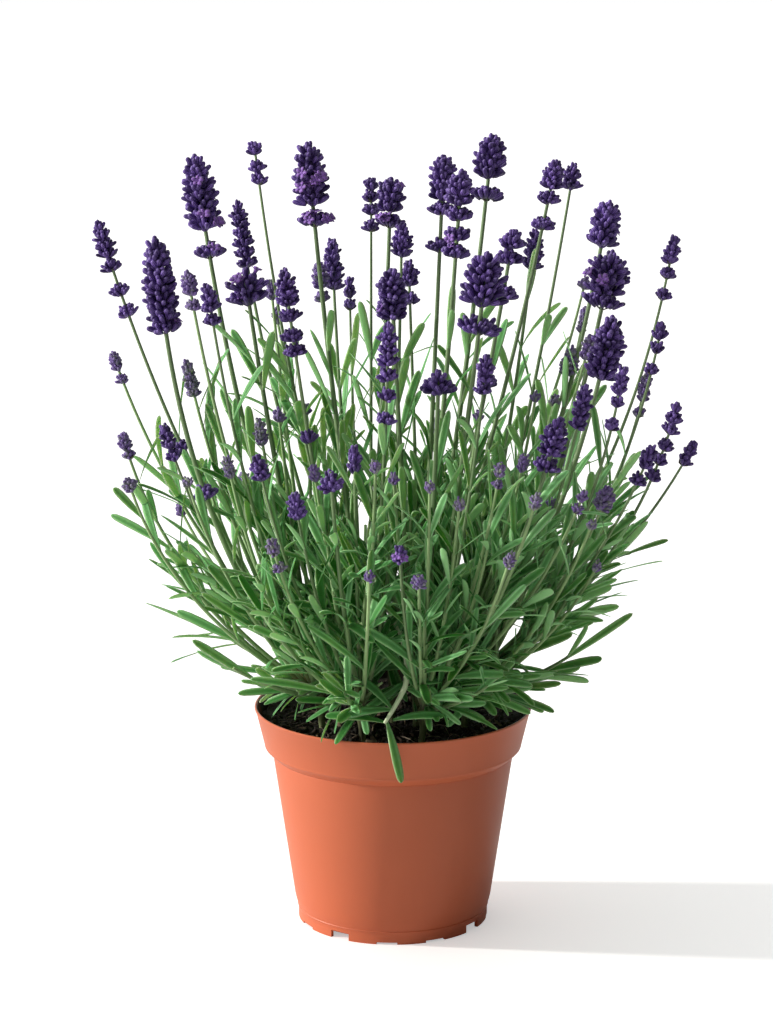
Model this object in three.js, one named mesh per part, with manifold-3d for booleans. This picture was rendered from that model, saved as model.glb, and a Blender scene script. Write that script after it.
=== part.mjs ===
// Potted lavender: a nursery pot, its soil, leafy shoots and flower spikes.
// Millimetres, +Z up. The pot's axis is the Z axis and the pot stands on z = 0.

import * as THREE from 'three';
import { mergeVertices } from 'three/addons/utils/BufferGeometryUtils.js';
import Module from 'manifold-3d';

const wasm = await Module();
wasm.setup();

// ---------------------------------------------------------------- driving dimensions

const GAP = 0.3;            // left between pieces that touch
const CLEAR = 0.6;          // left between plant pieces that pass each other

const POT = {
  height: 103,
  rimRadius: 65,
  collarRadius: 61.4,       // collar at its lower edge
  collarFoot: 88,
  wallTopRadius: 56.7,
  wallTop: 83.5,
  wallFootRadius: 46.2,
  footRadius: 44.8,
  footRing: 1.6,            // thickness of the foot ring
  ridgeHeight: 6.3,
  wall: 1.2,
  panelTop: 4.2,            // raised base panel, between 2.6 and 4.2
  panelFoot: 2.6,
  sides: 32,
};

// Drainage notches in the foot ring: every third one is deep. Angles run from the front.
const NOTCH = { count: 12, firstAngle: -34, deep: 3.6, shallow: 1.0, halfAngle: 7, deepEvery: 3 };
const DRAIN = { count: 6, radius: 4.2, ring: 27, sides: 8 };
const SOIL = { top: 94.5, bump: 1.3, clearance: 0.5, rings: [46, 24] };

const STALK = {
  radius: 1.3,
  sides: 3,
  youngSides: 4,
  band: 2.2,                // length of the band that a pair of leaves grows from
  levels: [0, 0.6, 1],      // rings along the bare stalk
  spread: 1.8,              // how much wider than their lean stalks leave the knot
};
const WOOD = { radius: 3.4, knot: 6.2, splay: 1.15, foot: 70, sides: 5 };

// Shoots stand in rings; root: how far out they stand, reach: how far out their sector lies,
// sprigs: leafy side shoots as [turn in degrees, distance out, height].
const SHOOT_RINGS = [
  { count: 1, turn: 0, root: 0, reach: 0, knotHeight: 122, sprigs: [[30, 12, 195]] },
  { count: 4, turn: 40, root: 15, reach: 58, knotHeight: 117, sprigs: [[0, 45, 205], [45, 38, 175]] },
  {
    count: 8,
    turn: 22,
    root: 33,
    reach: 122,
    knotHeight: 111,
    sprigs: [[-14, 97, 168], [8, 84, 132], [22, 72, 192]],
  },
];
const LEAF = {
  length: 40,
  width: 5.2,
  stations: [               // along the blade: half width as a share, keel depth
    { share: 0.55, half: 0.5, thickness: 1.1 },
    { share: 1, half: 0.14, thickness: 0.7 },
  ],
  turns: [[0, 0], [20, 0], [-20, 0], [0, 1], [38, 0], [-38, 0], [20, 1], [-20, 1]],
};
const HEAD = {
  pitch: 5.2,               // between rows of buds
  core: 0.66,               // core radius as a share of the bud radius
  rachis: 1.1,
  rachisLength: 6,          // below the lowest whorl
  whorlHalf: 2.6,
  whorlShare: 0.53,         // whorl radius as a share of the head's width
  lowWhorlShare: 0.38,      // the same for whorls far down the stalk
  wide: 13,                 // wider heads have more buds round
  sides: 6,
  narrowSides: 5,
};

// Tips are sorted into sectors at the height of the tallest ones.
const SECTOR = { foot: 117, top: 367, maxScale: 2.2, reach: 125 };

// The front view is taken from here; a stalk is listed where it is seen from this eye.
const EYE = new THREE.Vector3(-3, -1400, 503);

// Dense or whorled flower spikes, each a piece of its own.
// x, z: tip as seen from the front, on the plane through the pot's axis; depth: towards the back.
// head, width: length and width of the dense head; bow: how far the stalk bends outward;
// whorls: distances of the separate lower whorls below the tip.
const SPIKES = [
  // x, z, depth, head, width, bow, whorls
  [-134.5, 331, 0, 18, 9.5, 0.15, [22, 34, 44, 111]],
  [-108, 323, -45, 38, 14.5, 0.4, [41, 120]],
  [-90, 361, 40, 36, 15.5, 0.2, [47]],
  [-71, 340, 85, 32, 10, 0.2, []],
  [-68, 309, 5, 17, 19, 0.1, []],
  [-63, 367, 15, 6, 8, 0.2, [12, 18]],
  [-85, 302, -75, 13, 8, 0.2, [17]],
  [-50, 309, -75, 17, 10, 0.1, [22, 31, 38, 79]],
  [-39, 366, 30, 29, 16, 0.1, [37]],
  [-28, 323, 95, 25, 10, 0.2, []],
  [-20, 305, 112, 10, 7, 0.2, [14]],
  [-10, 351, 60, 7, 8, 0.1, [10, 16, 24]],
  [-1, 351, 105, 17, 13.5, 0.2, [23]],
  [4, 330, 20, 16, 9.5, 0, []],
  [7, 313, 60, 12, 9.5, 0, [19]],
  [-1, 309, -50, 23, 13.5, 0.1, []],
  [-2, 284, -95, 14, 9, 0.3, [17, 24, 33, 44]],
  [23, 361, 20, 21, 12, 0, [26, 43]],
  [45, 370, 70, 21, 15, 0.1, [30]],
  [31, 354, -30, 16, 12.5, 0.1, [21, 30, 38]],
  [43, 317, -65, 25, 19, 0.1, [36]],
  [55, 327, -20, 9, 12.5, 0.1, [14, 30, 71]],
  [65, 327, 60, 19, 10, 0.1, []],
  [74, 359, 0, 14, 11, 0.1, [19, 31]],
  [82, 357, 50, 12, 9.5, 0.1, []],
  [98, 340, 45, 22, 14.5, 0.2, []],
  [100, 317, -15, 21, 19, 0.2, [25]],
  [101, 287, -50, 29, 14.5, 0.2, []],
  [128, 324, 0, 9, 8, 0.3, [11, 18, 28]],
  [123, 284, -35, 8, 6.5, 0.3, [12, 22]],
  [106, 264, -72, 13, 7, 0.3, [17, 28]],
  [131, 247, -25, 10, 8, 0.3, [13, 21, 28, 36]],
  [139.5, 229, 5, 8, 7.5, 0.2, [11]],
  [120, 227, -55, 12, 8, 0.2, [18]],
  [89, 255, -78, 16, 8.5, 0.2, [19]],
  [77, 240, -100, 18, 11.5, 0.2, [24]],
  [43, 269, -90, 12, 8, 0.2, [16]],
  [-106, 237, -30, 12, 7, 0.2, [16]],
  [-63, 222, -85, 12, 8, 0.2, []],
  [-46, 205, -98, 14, 8, 0.2, []],
  [-29, 215, -108, 10, 11, 0.2, []],
  [-18, 227, -100, 13, 6.5, 0.2, []],
  [21, 262, -70, 11, 14.5, 0.1, []],
  [3, 179, -112, 8, 8, 0.3, []],
];

// Young spikes, still closed and grey-green: one body with their shoot.
const YOUNG = [
  // x, z, depth, head, width, bow, whorls
  [-129, 271, 10, 10, 6, 0.2, [14]],
  [-34, 312, 62, 13, 8, 0, [17]],
  [-94, 308, -60, 11, 7, 0.2, [16]],
  [-56, 304, 40, 10, 5, 0.1, []],
  [-54, 291, 70, 8, 4.5, 0.1, []],
  [88, 292, 80, 13, 5, 0.2, []],
  [88, 305, 95, 6, 8, 0.2, []],
  [91, 279, -20, 12, 6, 0.1, []],
  [83, 273, 40, 14, 8, 0.1, []],
  [117, 261, -15, 14, 6, 0.3, [19]],
  [66, 252, -20, 5, 5, 0.1, []],
  [75, 251, 30, 6, 6, 0.1, []],
  [50, 219, -100, 7, 5, 0.2, [11]],
  [61, 223, -70, 9, 5, 0.2, []],
  [67, 204, -108, 8, 5, 0.2, []],
  [74, 202, -60, 5, 5, 0.2, []],
  [89, 206, -90, 6, 5, 0.2, [10]],
  [100, 207, -60, 12, 9, 0.2, []],
  [93, 192, -85, 6, 4.5, 0.2, []],
  [55, 176, -118, 8, 5, 0.2, []],
  [96, 172, -70, 6, 4.5, 0.2, []],
  [-125, 233, -15, 9, 6, 0.3, [11]],
  [-123, 212, -40, 7, 6.5, 0.3, []],
  [-95, 267, -10, 17, 6.5, 0.2, []],
  [-77, 222, -60, 11, 5, 0.2, []],
  [-53, 244, -30, 6, 6.5, 0.1, []],
  [-40, 247, 30, 6, 5, 0.1, []],
  [-62, 239, -45, 12, 6, 0.1, []],
  [-57, 183, -100, 9, 6, 0.2, [16]],
  [-96, 212, -70, 5, 5, 0.2, []],
  [-37, 218, -80, 9, 5, 0.1, []],
  [-8, 220, -112, 7, 5, 0.2, []],
  [0, 214, -90, 6, 5, 0.2, []],
  [40, 244, -60, 6, 5, 0.1, []],
  [17, 210, -118, 6, 4.5, 0.2, []],
  [31, 202, -112, 6, 5, 0.2, []],
  [-11, 167, -118, 6, 4.5, 0.2, []],
  [12, 165, -115, 7, 6, 0.2, []],
  // round the back, hidden by the leaves in the front view
  [-70, 215, 100, 9, 6, 0.2, [13]],
  [-40, 235, 112, 10, 6, 0.2, []],
  [-10, 205, 118, 7, 5, 0.2, []],
  [20, 240, 110, 10, 7, 0.2, [14]],
  [50, 210, 112, 8, 5, 0.2, []],
  [80, 225, 90, 9, 6, 0.2, []],
  [-100, 200, 70, 7, 5, 0.2, []],
  [105, 200, 65, 7, 5, 0.2, []],
];

// ---------------------------------------------------------------- small helpers

// A repeatable draw between low and high: the same seed grows the same plant.
function seededDraw(seed) {
  let state = seed;
  return (low, high) => {
    state = (state * 1664525 + 1013904223) % 4294967296;
    return low + (high - low) * state / 4294967296;
  };
}

function radians(degrees) {
  return degrees * Math.PI / 180;
}

// Moves a place seen on the axis plane along the eye's line of sight to its real depth.
function seenAt(x, z, depth) {
  const seen = new THREE.Vector3(x, 0, z);
  return EYE.clone().lerp(seen, 1 - depth / EYE.y);
}

// Two directions across a stem: one sideways, one to complete the frame.
function across(direction) {
  const side = new THREE.Vector3(1, 0, 0);
  side.addScaledVector(direction, -side.dot(direction)).normalize();
  const back = new THREE.Vector3().crossVectors(direction, side);
  return { side, back };
}

function onCircle(centre, frame, radius, angle) {
  return centre.clone()
    .addScaledVector(frame.side, radius * Math.cos(angle))
    .addScaledVector(frame.back, radius * Math.sin(angle));
}

// Closed solid from corner points and triangles.
function geometryFrom(points, triangles) {
  const geometry = new THREE.BufferGeometry();
  geometry.setFromPoints(points);
  geometry.setIndex(triangles.flat());
  return geometry;
}

// Skin over a row of rings with equally many corners; both ends are closed with a fan.
function loft(rings) {
  const points = rings.flat();
  const triangles = [];
  const sides = rings[0].length;
  for (let row = 0; row + 1 < rings.length; row += 1) {
    const low = row * sides;
    for (let i = 0; i < sides; i += 1) {
      const next = (i + 1) % sides;
      triangles.push([low + i, low + next, low + sides + next]);
      triangles.push([low + i, low + sides + next, low + sides + i]);
    }
  }
  const last = (rings.length - 1) * sides;
  for (let i = 1; i + 1 < sides; i += 1) {
    triangles.push([0, i + 1, i]);
    triangles.push([last, last + i, last + i + 1]);
  }
  return geometryFrom(points, triangles);
}

// ---------------------------------------------------------------- solids

function toSolid(geometry) {
  const plain = geometry.clone();
  plain.deleteAttribute('normal');
  plain.deleteAttribute('uv');
  const merged = mergeVertices(plain, 1e-4);
  const mesh = new wasm.Mesh({
    numProp: 3,
    vertProperties: Float32Array.from(merged.attributes.position.array),
    triVerts: Uint32Array.from(merged.index.array),
  });
  return new wasm.Manifold(mesh);
}

// The largest body of a solid: loose scrap is dropped and a sealed hollow is filled.
function mainBody(solid) {
  const bodies = solid.decompose();
  return bodies.reduce((best, body) => (body.volume() > best.volume() ? body : best));
}

function toGeometry(solid) {
  const mesh = solid.getMesh();
  const geometry = new THREE.BufferGeometry();
  geometry.setAttribute('position', new THREE.BufferAttribute(Float32Array.from(mesh.vertProperties), 3));
  geometry.setIndex(Array.from(mesh.triVerts));
  geometry.computeVertexNormals();
  return geometry;
}

function namedMesh(name, geometry, material) {
  const mesh = new THREE.Mesh(geometry, material);
  mesh.name = name;
  return mesh;
}

// ---------------------------------------------------------------- pot and soil

// Inside radius of the tapered wall, between the base panel and the collar.
function innerWallRadius(z) {
  const outer = THREE.MathUtils.mapLinear(
    z, POT.panelTop, POT.wallTop, POT.wallFootRadius, POT.wallTopRadius);
  return outer - POT.wall;
}

// Inside radius of the collar, up to the rim.
function innerCollarRadius(z) {
  const outer = THREE.MathUtils.mapLinear(
    z, POT.collarFoot, POT.height, POT.collarRadius, POT.rimRadius);
  return outer - POT.wall;
}

function potProfile() {
  return [
    [0, POT.panelFoot],
    [POT.footRadius - POT.footRing, POT.panelFoot],
    [POT.footRadius - POT.footRing, 0],
    [POT.footRadius, 0],
    [POT.footRadius, POT.ridgeHeight - 1],
    [POT.wallFootRadius, POT.ridgeHeight],
    [POT.wallTopRadius, POT.wallTop],
    [POT.collarRadius - 2 * POT.wall, POT.wallTop + POT.wall],
    [POT.collarRadius, POT.collarFoot],
    [POT.rimRadius, POT.height],
    [POT.rimRadius - POT.wall, POT.height],
    [innerCollarRadius(POT.collarFoot), POT.collarFoot],
    [innerWallRadius(POT.wallTop), POT.wallTop + POT.wall],
    [innerWallRadius(POT.panelTop), POT.panelTop],
    [0, POT.panelTop],
  ];
}

// LatheGeometry turns about Y, so the turned body is stood up on Z.
function turned(profile) {
  const points = profile.map(([radius, z]) => new THREE.Vector2(radius, z));
  return new THREE.LatheGeometry(points, POT.sides).rotateX(Math.PI / 2);
}

function potNotch(index) {
  const height = index % NOTCH.deepEvery === 0 ? NOTCH.deep : NOTCH.shallow;
  const width = 2 * POT.footRadius * Math.sin(radians(NOTCH.halfAngle));
  const angle = radians(NOTCH.firstAngle - 90 + index * 360 / NOTCH.count);
  const block = new THREE.BoxGeometry(4 * POT.wall, width, 2 * height);
  block.translate(POT.footRadius - POT.wall / 2, 0, 0);
  block.rotateZ(angle);
  return toSolid(block);
}

function drainHole(x, y) {
  const hole = new THREE.CylinderGeometry(DRAIN.radius, DRAIN.radius, 2 * POT.panelTop, DRAIN.sides);
  hole.rotateX(Math.PI / 2);
  hole.translate(x, y, (POT.panelFoot + POT.panelTop) / 2);
  return toSolid(hole);
}

function makePot() {
  let pot = toSolid(turned(potProfile()));
  for (let i = 0; i < NOTCH.count; i += 1) {
    pot = pot.subtract(potNotch(i));
  }
  pot = pot.subtract(drainHole(0, 0));
  for (let i = 0; i < DRAIN.count; i += 1) {
    const angle = i * 2 * Math.PI / DRAIN.count;
    pot = pot.subtract(drainHole(DRAIN.ring * Math.cos(angle), DRAIN.ring * Math.sin(angle)));
  }
  return toGeometry(mainBody(pot));
}

// Height of the soil at a place: low clods.
function soilHeight(x, y) {
  const clods = Math.sin(x * 0.31 + 1.3) * Math.cos(y * 0.27) + 0.5 * Math.sin(x * 0.7 - y * 0.6);
  return SOIL.top + SOIL.bump * clods;
}

function makeSoil(shoots) {
  const foot = POT.panelTop + GAP;
  const profile = [
    [0, foot],
    [innerWallRadius(foot) - SOIL.clearance, foot],
    [innerWallRadius(POT.wallTop) - SOIL.clearance, POT.wallTop + POT.wall],
    [innerCollarRadius(POT.collarFoot) - SOIL.clearance, POT.collarFoot],
    [innerCollarRadius(SOIL.top) - SOIL.clearance, SOIL.top - SOIL.bump],
    ...SOIL.rings.map((radius) => [radius, SOIL.top]),
    [0, SOIL.top],
  ];
  const geometry = turned(profile);
  const position = geometry.attributes.position;
  for (let i = 0; i < position.count; i += 1) {
    if (position.getZ(i) > SOIL.top - SOIL.bump / 2) {
      position.setZ(i, soilHeight(position.getX(i), position.getY(i)));
    }
  }
  let soil = toSolid(geometry);
  const holeRadius = WOOD.radius + GAP / Math.cos(Math.PI / WOOD.sides);
  const holeHeight = 2 * (SOIL.top - WOOD.foot);
  for (const shoot of shoots) {
    const hole = new THREE.CylinderGeometry(holeRadius, holeRadius, holeHeight, WOOD.sides);
    hole.rotateX(Math.PI / 2);
    hole.rotateZ(Math.PI / 2);
    hole.translate(shoot.root.x, shoot.root.y, WOOD.foot - GAP + holeHeight / 2);
    soil = soil.subtract(toSolid(hole));
  }
  return toGeometry(mainBody(soil));
}

// ---------------------------------------------------------------- where the plant grows

// Rooted shoots: one in the middle, a ring round it and a ring at the edge. Each has a woody
// base with a knot on top, where its stalks branch.
function plantShoots() {
  const shoots = [];
  for (const ring of SHOOT_RINGS) {
    for (let i = 0; i < ring.count; i += 1) {
      const angle = radians(ring.turn + i * 360 / ring.count);
      const outward = new THREE.Vector3(Math.cos(angle), Math.sin(angle), 0);
      shoots.push({
        name: `shoot_${String(shoots.length + 1).padStart(2, '0')}`,
        angle,
        ring,
        root: outward.clone().multiplyScalar(ring.root).setZ(WOOD.foot),
        knot: outward.clone().multiplyScalar(ring.root * WOOD.splay).setZ(ring.knotHeight),
        reach: outward.clone().multiplyScalar(ring.reach),
        stalks: [],
      });
    }
  }
  return shoots;
}

// The shoot in whose sector a tip lies, after its lean is scaled up to the plant's full height.
function shootFor(tip) {
  const rise = tip.z - SECTOR.foot;
  const scale = Math.min((SECTOR.top - SECTOR.foot) / rise, SECTOR.maxScale);
  const place = new THREE.Vector3(tip.x * scale, tip.y * scale, 0).clampLength(0, SECTOR.reach);
  return shoots.reduce((best, shoot) => (
    shoot.reach.distanceTo(place) < best.reach.distanceTo(place) ? shoot : best));
}

function addStalk(shoot, tip, { head = 0, width = 0, bow = 0, whorls = [], kind }) {
  const sides = kind === 'young' ? STALK.youngSides : STALK.sides;
  const stalk = { tip, head, width, bow, whorls, kind, shoot, sides, pairs: [], topShare: 1 };
  shoot.stalks.push(stalk);
  return stalk;
}

function addRow([x, z, depth, head, width, bow, whorls], kind) {
  const tip = seenAt(x, z, depth);
  return addStalk(shootFor(tip), tip, { head, width, bow, whorls, kind });
}

// Leafy side shoots without a flower, by ring: turned, out from the axis and up.
function addSprigs(shoot) {
  for (const [turn, out, height] of shoot.ring.sprigs) {
    const angle = shoot.angle + radians(turn);
    const tip = new THREE.Vector3(out * Math.cos(angle), out * Math.sin(angle), height);
    addStalk(shoot, tip, { bow: 0.15, kind: 'sprig' });
  }
}

// Stalks leave the knot spread wider than they lean, so that neighbours part at once.
function routeStalks(shoot) {
  const leans = shoot.stalks.map(({ tip }) => tip.clone().sub(shoot.knot).normalize());
  const mean = leans.reduce((sum, lean) => sum.add(lean), new THREE.Vector3()).normalize();
  shoot.stalks.forEach((stalk, i) => {
    const spread = mean.clone().addScaledVector(leans[i].clone().sub(mean), STALK.spread).normalize();
    const start = shoot.knot.clone().addScaledVector(spread, WOOD.knot * 0.6);
    const bend = 0.5 + stalk.bow;
    const control = new THREE.Vector3(
      THREE.MathUtils.lerp(start.x, stalk.tip.x, bend),
      THREE.MathUtils.lerp(start.y, stalk.tip.y, bend),
      THREE.MathUtils.lerp(start.z, stalk.tip.z, 0.5 - 0.3 * stalk.bow),
    );
    stalk.curve = new THREE.QuadraticBezierCurve3(start, control, stalk.tip);
    stalk.length = stalk.curve.getLength();
  });
}

// Place, direction and cross frame on a stalk, at a distance below its tip.
function belowTip(stalk, distance) {
  const share = THREE.MathUtils.clamp(1 - distance / stalk.length, 0, 1);
  const direction = stalk.curve.getTangentAt(share);
  return { centre: stalk.curve.getPointAt(share), direction, ...across(direction) };
}

// ---------------------------------------------------------------- room between pieces

const occupied = [];

// A capsule is a line with a radius round it. Its owner is the node, its stem the stalk in it.
function takeRoom(capsules, owner, stem) {
  for (const capsule of capsules) {
    occupied.push({ ...capsule, owner, stem });
  }
}

function touches(a, b) {
  const reach = a.radius + b.radius + CLEAR;
  return a.line.distanceSqToLine3(b.line) < reach * reach;
}

function hasRoom(capsules, stem) {
  const others = occupied.filter((other) => other.stem !== stem);
  return !capsules.some((capsule) => others.some((other) => touches(capsule, other)));
}

// Clear of the soil inside the rim and of the pot outside it.
function clearOfPot({ line, radius }) {
  const { x, y, z } = line.end;
  const out = Math.hypot(x, y);
  if (z > POT.height + radius + 1) return true;
  if (out > POT.rimRadius + radius + 1) return z > 60;
  return out < POT.rimRadius - 6 - radius && z > SOIL.top + 3 + radius;
}

function capsulesAlong(curve, from, to, steps, radius) {
  const at = (i) => THREE.MathUtils.clamp(from + (to - from) * i / steps, 0, 1);
  return Array.from({ length: steps }, (_, i) => ({
    line: new THREE.Line3(curve.getPointAt(at(i)), curve.getPointAt(at(i + 1))),
    radius,
  }));
}

// ---------------------------------------------------------------- flower spikes

function whorlShare(distance) {
  return distance > 60 ? HEAD.lowWhorlShare : HEAD.whorlShare;
}

// Distance below the tip at which a spike ends and its bare stalk begins.
function spikeFoot(stalk) {
  const lowest = Math.max(stalk.head, ...stalk.whorls);
  return stalk.whorls.length > 0 ? lowest + HEAD.rachisLength : lowest;
}

// Rings of a flower head and its whorls, from the foot to the tip. Rings with buds stand half
// a bud round from the rings below and above them.
function headRings(stalk) {
  const rings = [];
  const addRing = (distance, radius, turn, budRadius) => {
    rings.push({ radius, turn, budRadius, leaves: [], ...belowTip(stalk, distance) });
  };
  if (stalk.whorls.length > 0) {
    addRing(spikeFoot(stalk), HEAD.rachis, 0, 0);
  }
  for (const distance of stalk.whorls.toReversed()) {
    const radius = stalk.width * whorlShare(distance);
    addRing(distance + HEAD.whorlHalf, HEAD.rachis, 0, 0);
    addRing(distance, radius * HEAD.core, 0.5, radius);
    addRing(distance - HEAD.whorlHalf, HEAD.rachis, 0, 0);
  }
  const rows = Math.max(2, Math.round(stalk.head / HEAD.pitch));
  addRing(stalk.head, HEAD.rachis + 0.2, 0, 0);
  for (let row = 1; row < rows; row += 1) {
    const swell = Math.sin(Math.PI * (0.3 + 0.52 * row / rows)) ** 0.5;
    const radius = 0.5 * stalk.width * swell;
    addRing(stalk.head * (1 - row / rows), radius * HEAD.core, (row % 2) * 0.5, radius);
  }
  addRing(0, 0.2 * stalk.width, (rows % 2) * 0.5, 0);
  return rings;
}

// Rings of a bare stalk from the knot up, with a short band wherever a pair of leaves grows.
function stalkRings(stalk) {
  const { topShare } = stalk;
  const band = STALK.band / stalk.length;
  const levels = STALK.levels.map((level) => ({ share: topShare * level }));
  const spare = (share) => stalk.pairs.every((pair) => Math.abs(pair.share - share) > 0.08);
  const kept = levels.filter(({ share }) => share === 0 || share === topShare || spare(share));
  for (const pair of stalk.pairs) {
    kept.push({ share: pair.share - band / 2, leaves: pair.leaves }, { share: pair.share + band / 2 });
  }
  kept.sort((a, b) => a.share - b.share);
  return kept.map(({ share, leaves = [] }) => {
    const direction = stalk.curve.getTangentAt(share);
    const centre = stalk.curve.getPointAt(share);
    return { centre, direction, ...across(direction), radius: STALK.radius, turn: 0, budRadius: 0, leaves };
  });
}

// Blade of a leaf, flat above and keeled below, grown from three corners of its stalk.
function addLeaf(points, triangles, root, leaf) {
  let ring = root;
  for (const { share, half, thickness } of LEAF.stations) {
    const centre = leaf.curve.getPointAt(share);
    const below = leaf.side.clone().cross(leaf.curve.getTangentAt(share)).normalize();
    const first = points.push(
      centre.clone().addScaledVector(leaf.side, leaf.width * half),
      centre.clone().addScaledVector(leaf.side, -leaf.width * half),
      centre.clone().addScaledVector(below, thickness),
    ) - 3;
    const next = [first, first + 1, first + 2];
    for (let i = 0; i < 3; i += 1) {
      const j = (i + 1) % 3;
      triangles.push([ring[i], ring[j], next[j]], [ring[i], next[j], next[i]]);
    }
    ring = next;
  }
  triangles.push(ring);
}

// Skin over rings: straight strips between rings with the same turn, and otherwise a lattice
// of diamonds, each raised to a bud that leans up the stalk.
function stemGeometry(rings, sides) {
  const turnOf = (ring, i) => 2 * Math.PI * (i + ring.turn) / sides;
  const corner = (row, i) => row * sides + i % sides;
  const points = rings.flatMap((ring) => (
    Array.from({ length: sides }, (_, i) => onCircle(ring.centre, ring, ring.radius, turnOf(ring, i)))));
  const triangles = [];
  rings.forEach((ring, row) => {
    const shift = ring.turn > 0 ? 1 : 0;
    const latticeBelow = row > 0 && rings[row - 1].turn !== ring.turn;
    const latticeAbove = row + 1 < rings.length && rings[row + 1].turn !== ring.turn;
    for (let i = 0; i < sides; i += 1) {
      const left = corner(row, i);
      const right = corner(row, i + 1);
      const top = corner(row + 1, i + shift);
      const foot = corner(row - 1, i + shift);
      if (ring.budRadius > 0) {
        const bud = onCircle(ring.centre, ring, ring.budRadius, turnOf(ring, i + 0.5));
        const apex = points.push(bud.addScaledVector(ring.direction, HEAD.pitch * 0.45)) - 1;
        triangles.push([foot, right, apex], [right, top, apex], [top, left, apex], [left, foot, apex]);
        continue;
      }
      if (latticeAbove) triangles.push([left, right, top]);
      if (latticeBelow) triangles.push([right, left, foot]);
      if (row > 0 && !latticeBelow) {
        const under = corner(row - 1, i);
        const leaf = rings[row - 1].leaves.find(({ face }) => face === i);
        triangles.push([under, corner(row - 1, i + 1), right]);
        if (leaf) addLeaf(points, triangles, [right, left, under], leaf);
        else triangles.push([under, right, left]);
      }
    }
  });
  const last = rings.length - 1;
  for (let i = 1; i + 1 < sides; i += 1) {
    triangles.push([corner(0, 0), corner(0, i + 1), corner(0, i)]);
    triangles.push([corner(last, 0), corner(last, i), corner(last, i + 1)]);
  }
  return geometryFrom(points, triangles);
}

function spikeCapsules(stalk) {
  const at = (distance) => 1 - distance / stalk.length;
  const whorlCapsules = stalk.whorls.flatMap((distance) => (
    capsulesAlong(stalk.curve, at(distance), at(distance - 3), 1, stalk.width * whorlShare(distance))));
  return [
    ...capsulesAlong(stalk.curve, at(spikeFoot(stalk)), 1, 4, HEAD.rachis + 0.4),
    ...capsulesAlong(stalk.curve, at(stalk.head), 1, 2, stalk.width / 2),
    ...whorlCapsules,
  ];
}

// ---------------------------------------------------------------- stalks, wood and leaves

// Woody base from the soil hole up to its knot.
function woodGeometry(shoot) {
  const above = (height) => shoot.knot.clone().setZ(shoot.knot.z + height);
  const levels = [
    [shoot.root, WOOD.radius],
    [shoot.root.clone().setZ(SOIL.top + 3), WOOD.radius],
    [above(-WOOD.knot * 0.2), WOOD.knot],
    [above(WOOD.knot * 0.7), WOOD.knot * 0.4],
  ];
  const upright = across(new THREE.Vector3(0, 0, 1));
  return loft(levels.map(([centre, radius]) => (
    Array.from({ length: WOOD.sides }, (_, i) => (
      onCircle(centre, upright, radius, 2 * Math.PI * i / WOOD.sides))))));
}

// A leaf's midline arches up from its stem and its tip sinks.
function leafCurve(root, direction, length, droop) {
  const middle = root.clone().addScaledVector(direction, length * 0.5);
  const tip = root.clone().addScaledVector(direction, length * 0.97);
  middle.z += droop * length * 0.1;
  tip.z -= droop * length * 0.15;
  return new THREE.QuadraticBezierCurve3(root, middle, tip);
}

// Tries a pair of leaves with several turns and lengths and keeps the first with room.
function growPair(stalk, share, face, draw) {
  const root = stalk.curve.getPointAt(share);
  const direction = stalk.curve.getTangentAt(share);
  const frame = { direction, ...across(direction) };
  const lean = radians(draw(38, 62));
  const droop = draw(-0.3, 1);
  const fullLength = LEAF.length * draw(0.8, 1.15);
  const width = LEAF.width * draw(0.85, 1.1);
  const opposite = Math.floor(stalk.sides / 2);
  const correction = Math.PI / 2 - opposite * Math.PI / stalk.sides;
  for (const shorter of [1, 0.85, 0.7]) {
    for (const [turn, quarter] of LEAF.turns) {
      const leaves = [-1, 1].map((sign) => {
        const onFace = (face + quarter + (sign > 0 ? opposite : 0)) % stalk.sides;
        const angle = 2 * Math.PI * (onFace + 0.5) / stalk.sides + sign * correction + radians(turn);
        const outward = onCircle(new THREE.Vector3(), frame, 1, angle);
        const way = direction.clone().multiplyScalar(Math.cos(lean));
        way.addScaledVector(outward, Math.sin(lean));
        return {
          face: onFace,
          width,
          side: new THREE.Vector3().crossVectors(direction, outward),
          curve: leafCurve(root, way, fullLength * shorter, droop),
        };
      });
      const capsules = leaves.flatMap((leaf) => capsulesAlong(leaf.curve, 0.15, 1, 3, width * 0.45));
      if (capsules.every(clearOfPot) && hasRoom(capsules, stalk)) {
        takeRoom(capsules, stalk.shoot.name, leaves);
        stalk.pairs.push({ share, leaves });
        return;
      }
    }
  }
}

// Opposite pairs up a stalk, each pair a quarter turn round from the last.
function growPairs(stalk, shares, draw) {
  shares.forEach((share, pair) => growPair(stalk, share, pair % 2, draw));
}

// ---------------------------------------------------------------- the plant

const materials = {
  pot: new THREE.MeshStandardMaterial({ color: 0xc0693f, roughness: 0.45, metalness: 0 }),
  soil: new THREE.MeshStandardMaterial({ color: 0x231b15, roughness: 1, metalness: 0 }),
  shoot: new THREE.MeshStandardMaterial({ color: 0x5f8549, roughness: 0.75, metalness: 0 }),
  spike: new THREE.MeshStandardMaterial({ color: 0x4b3566, roughness: 0.8, metalness: 0 }),
};

const shoots = plantShoots();
const spikes = SPIKES.map((row) => addRow(row, 'spike'));
const young = YOUNG.map((row) => addRow(row, 'young'));
shoots.forEach(addSprigs);
shoots.forEach(routeStalks);
const sprigs = shoots.flatMap((shoot) => shoot.stalks.filter((stalk) => stalk.kind === 'sprig'));
const lavender = new THREE.Group();

for (const shoot of shoots) {
  takeRoom([{ line: new THREE.Line3(shoot.root, shoot.knot), radius: WOOD.radius }], shoot.name, shoot);
}

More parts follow.
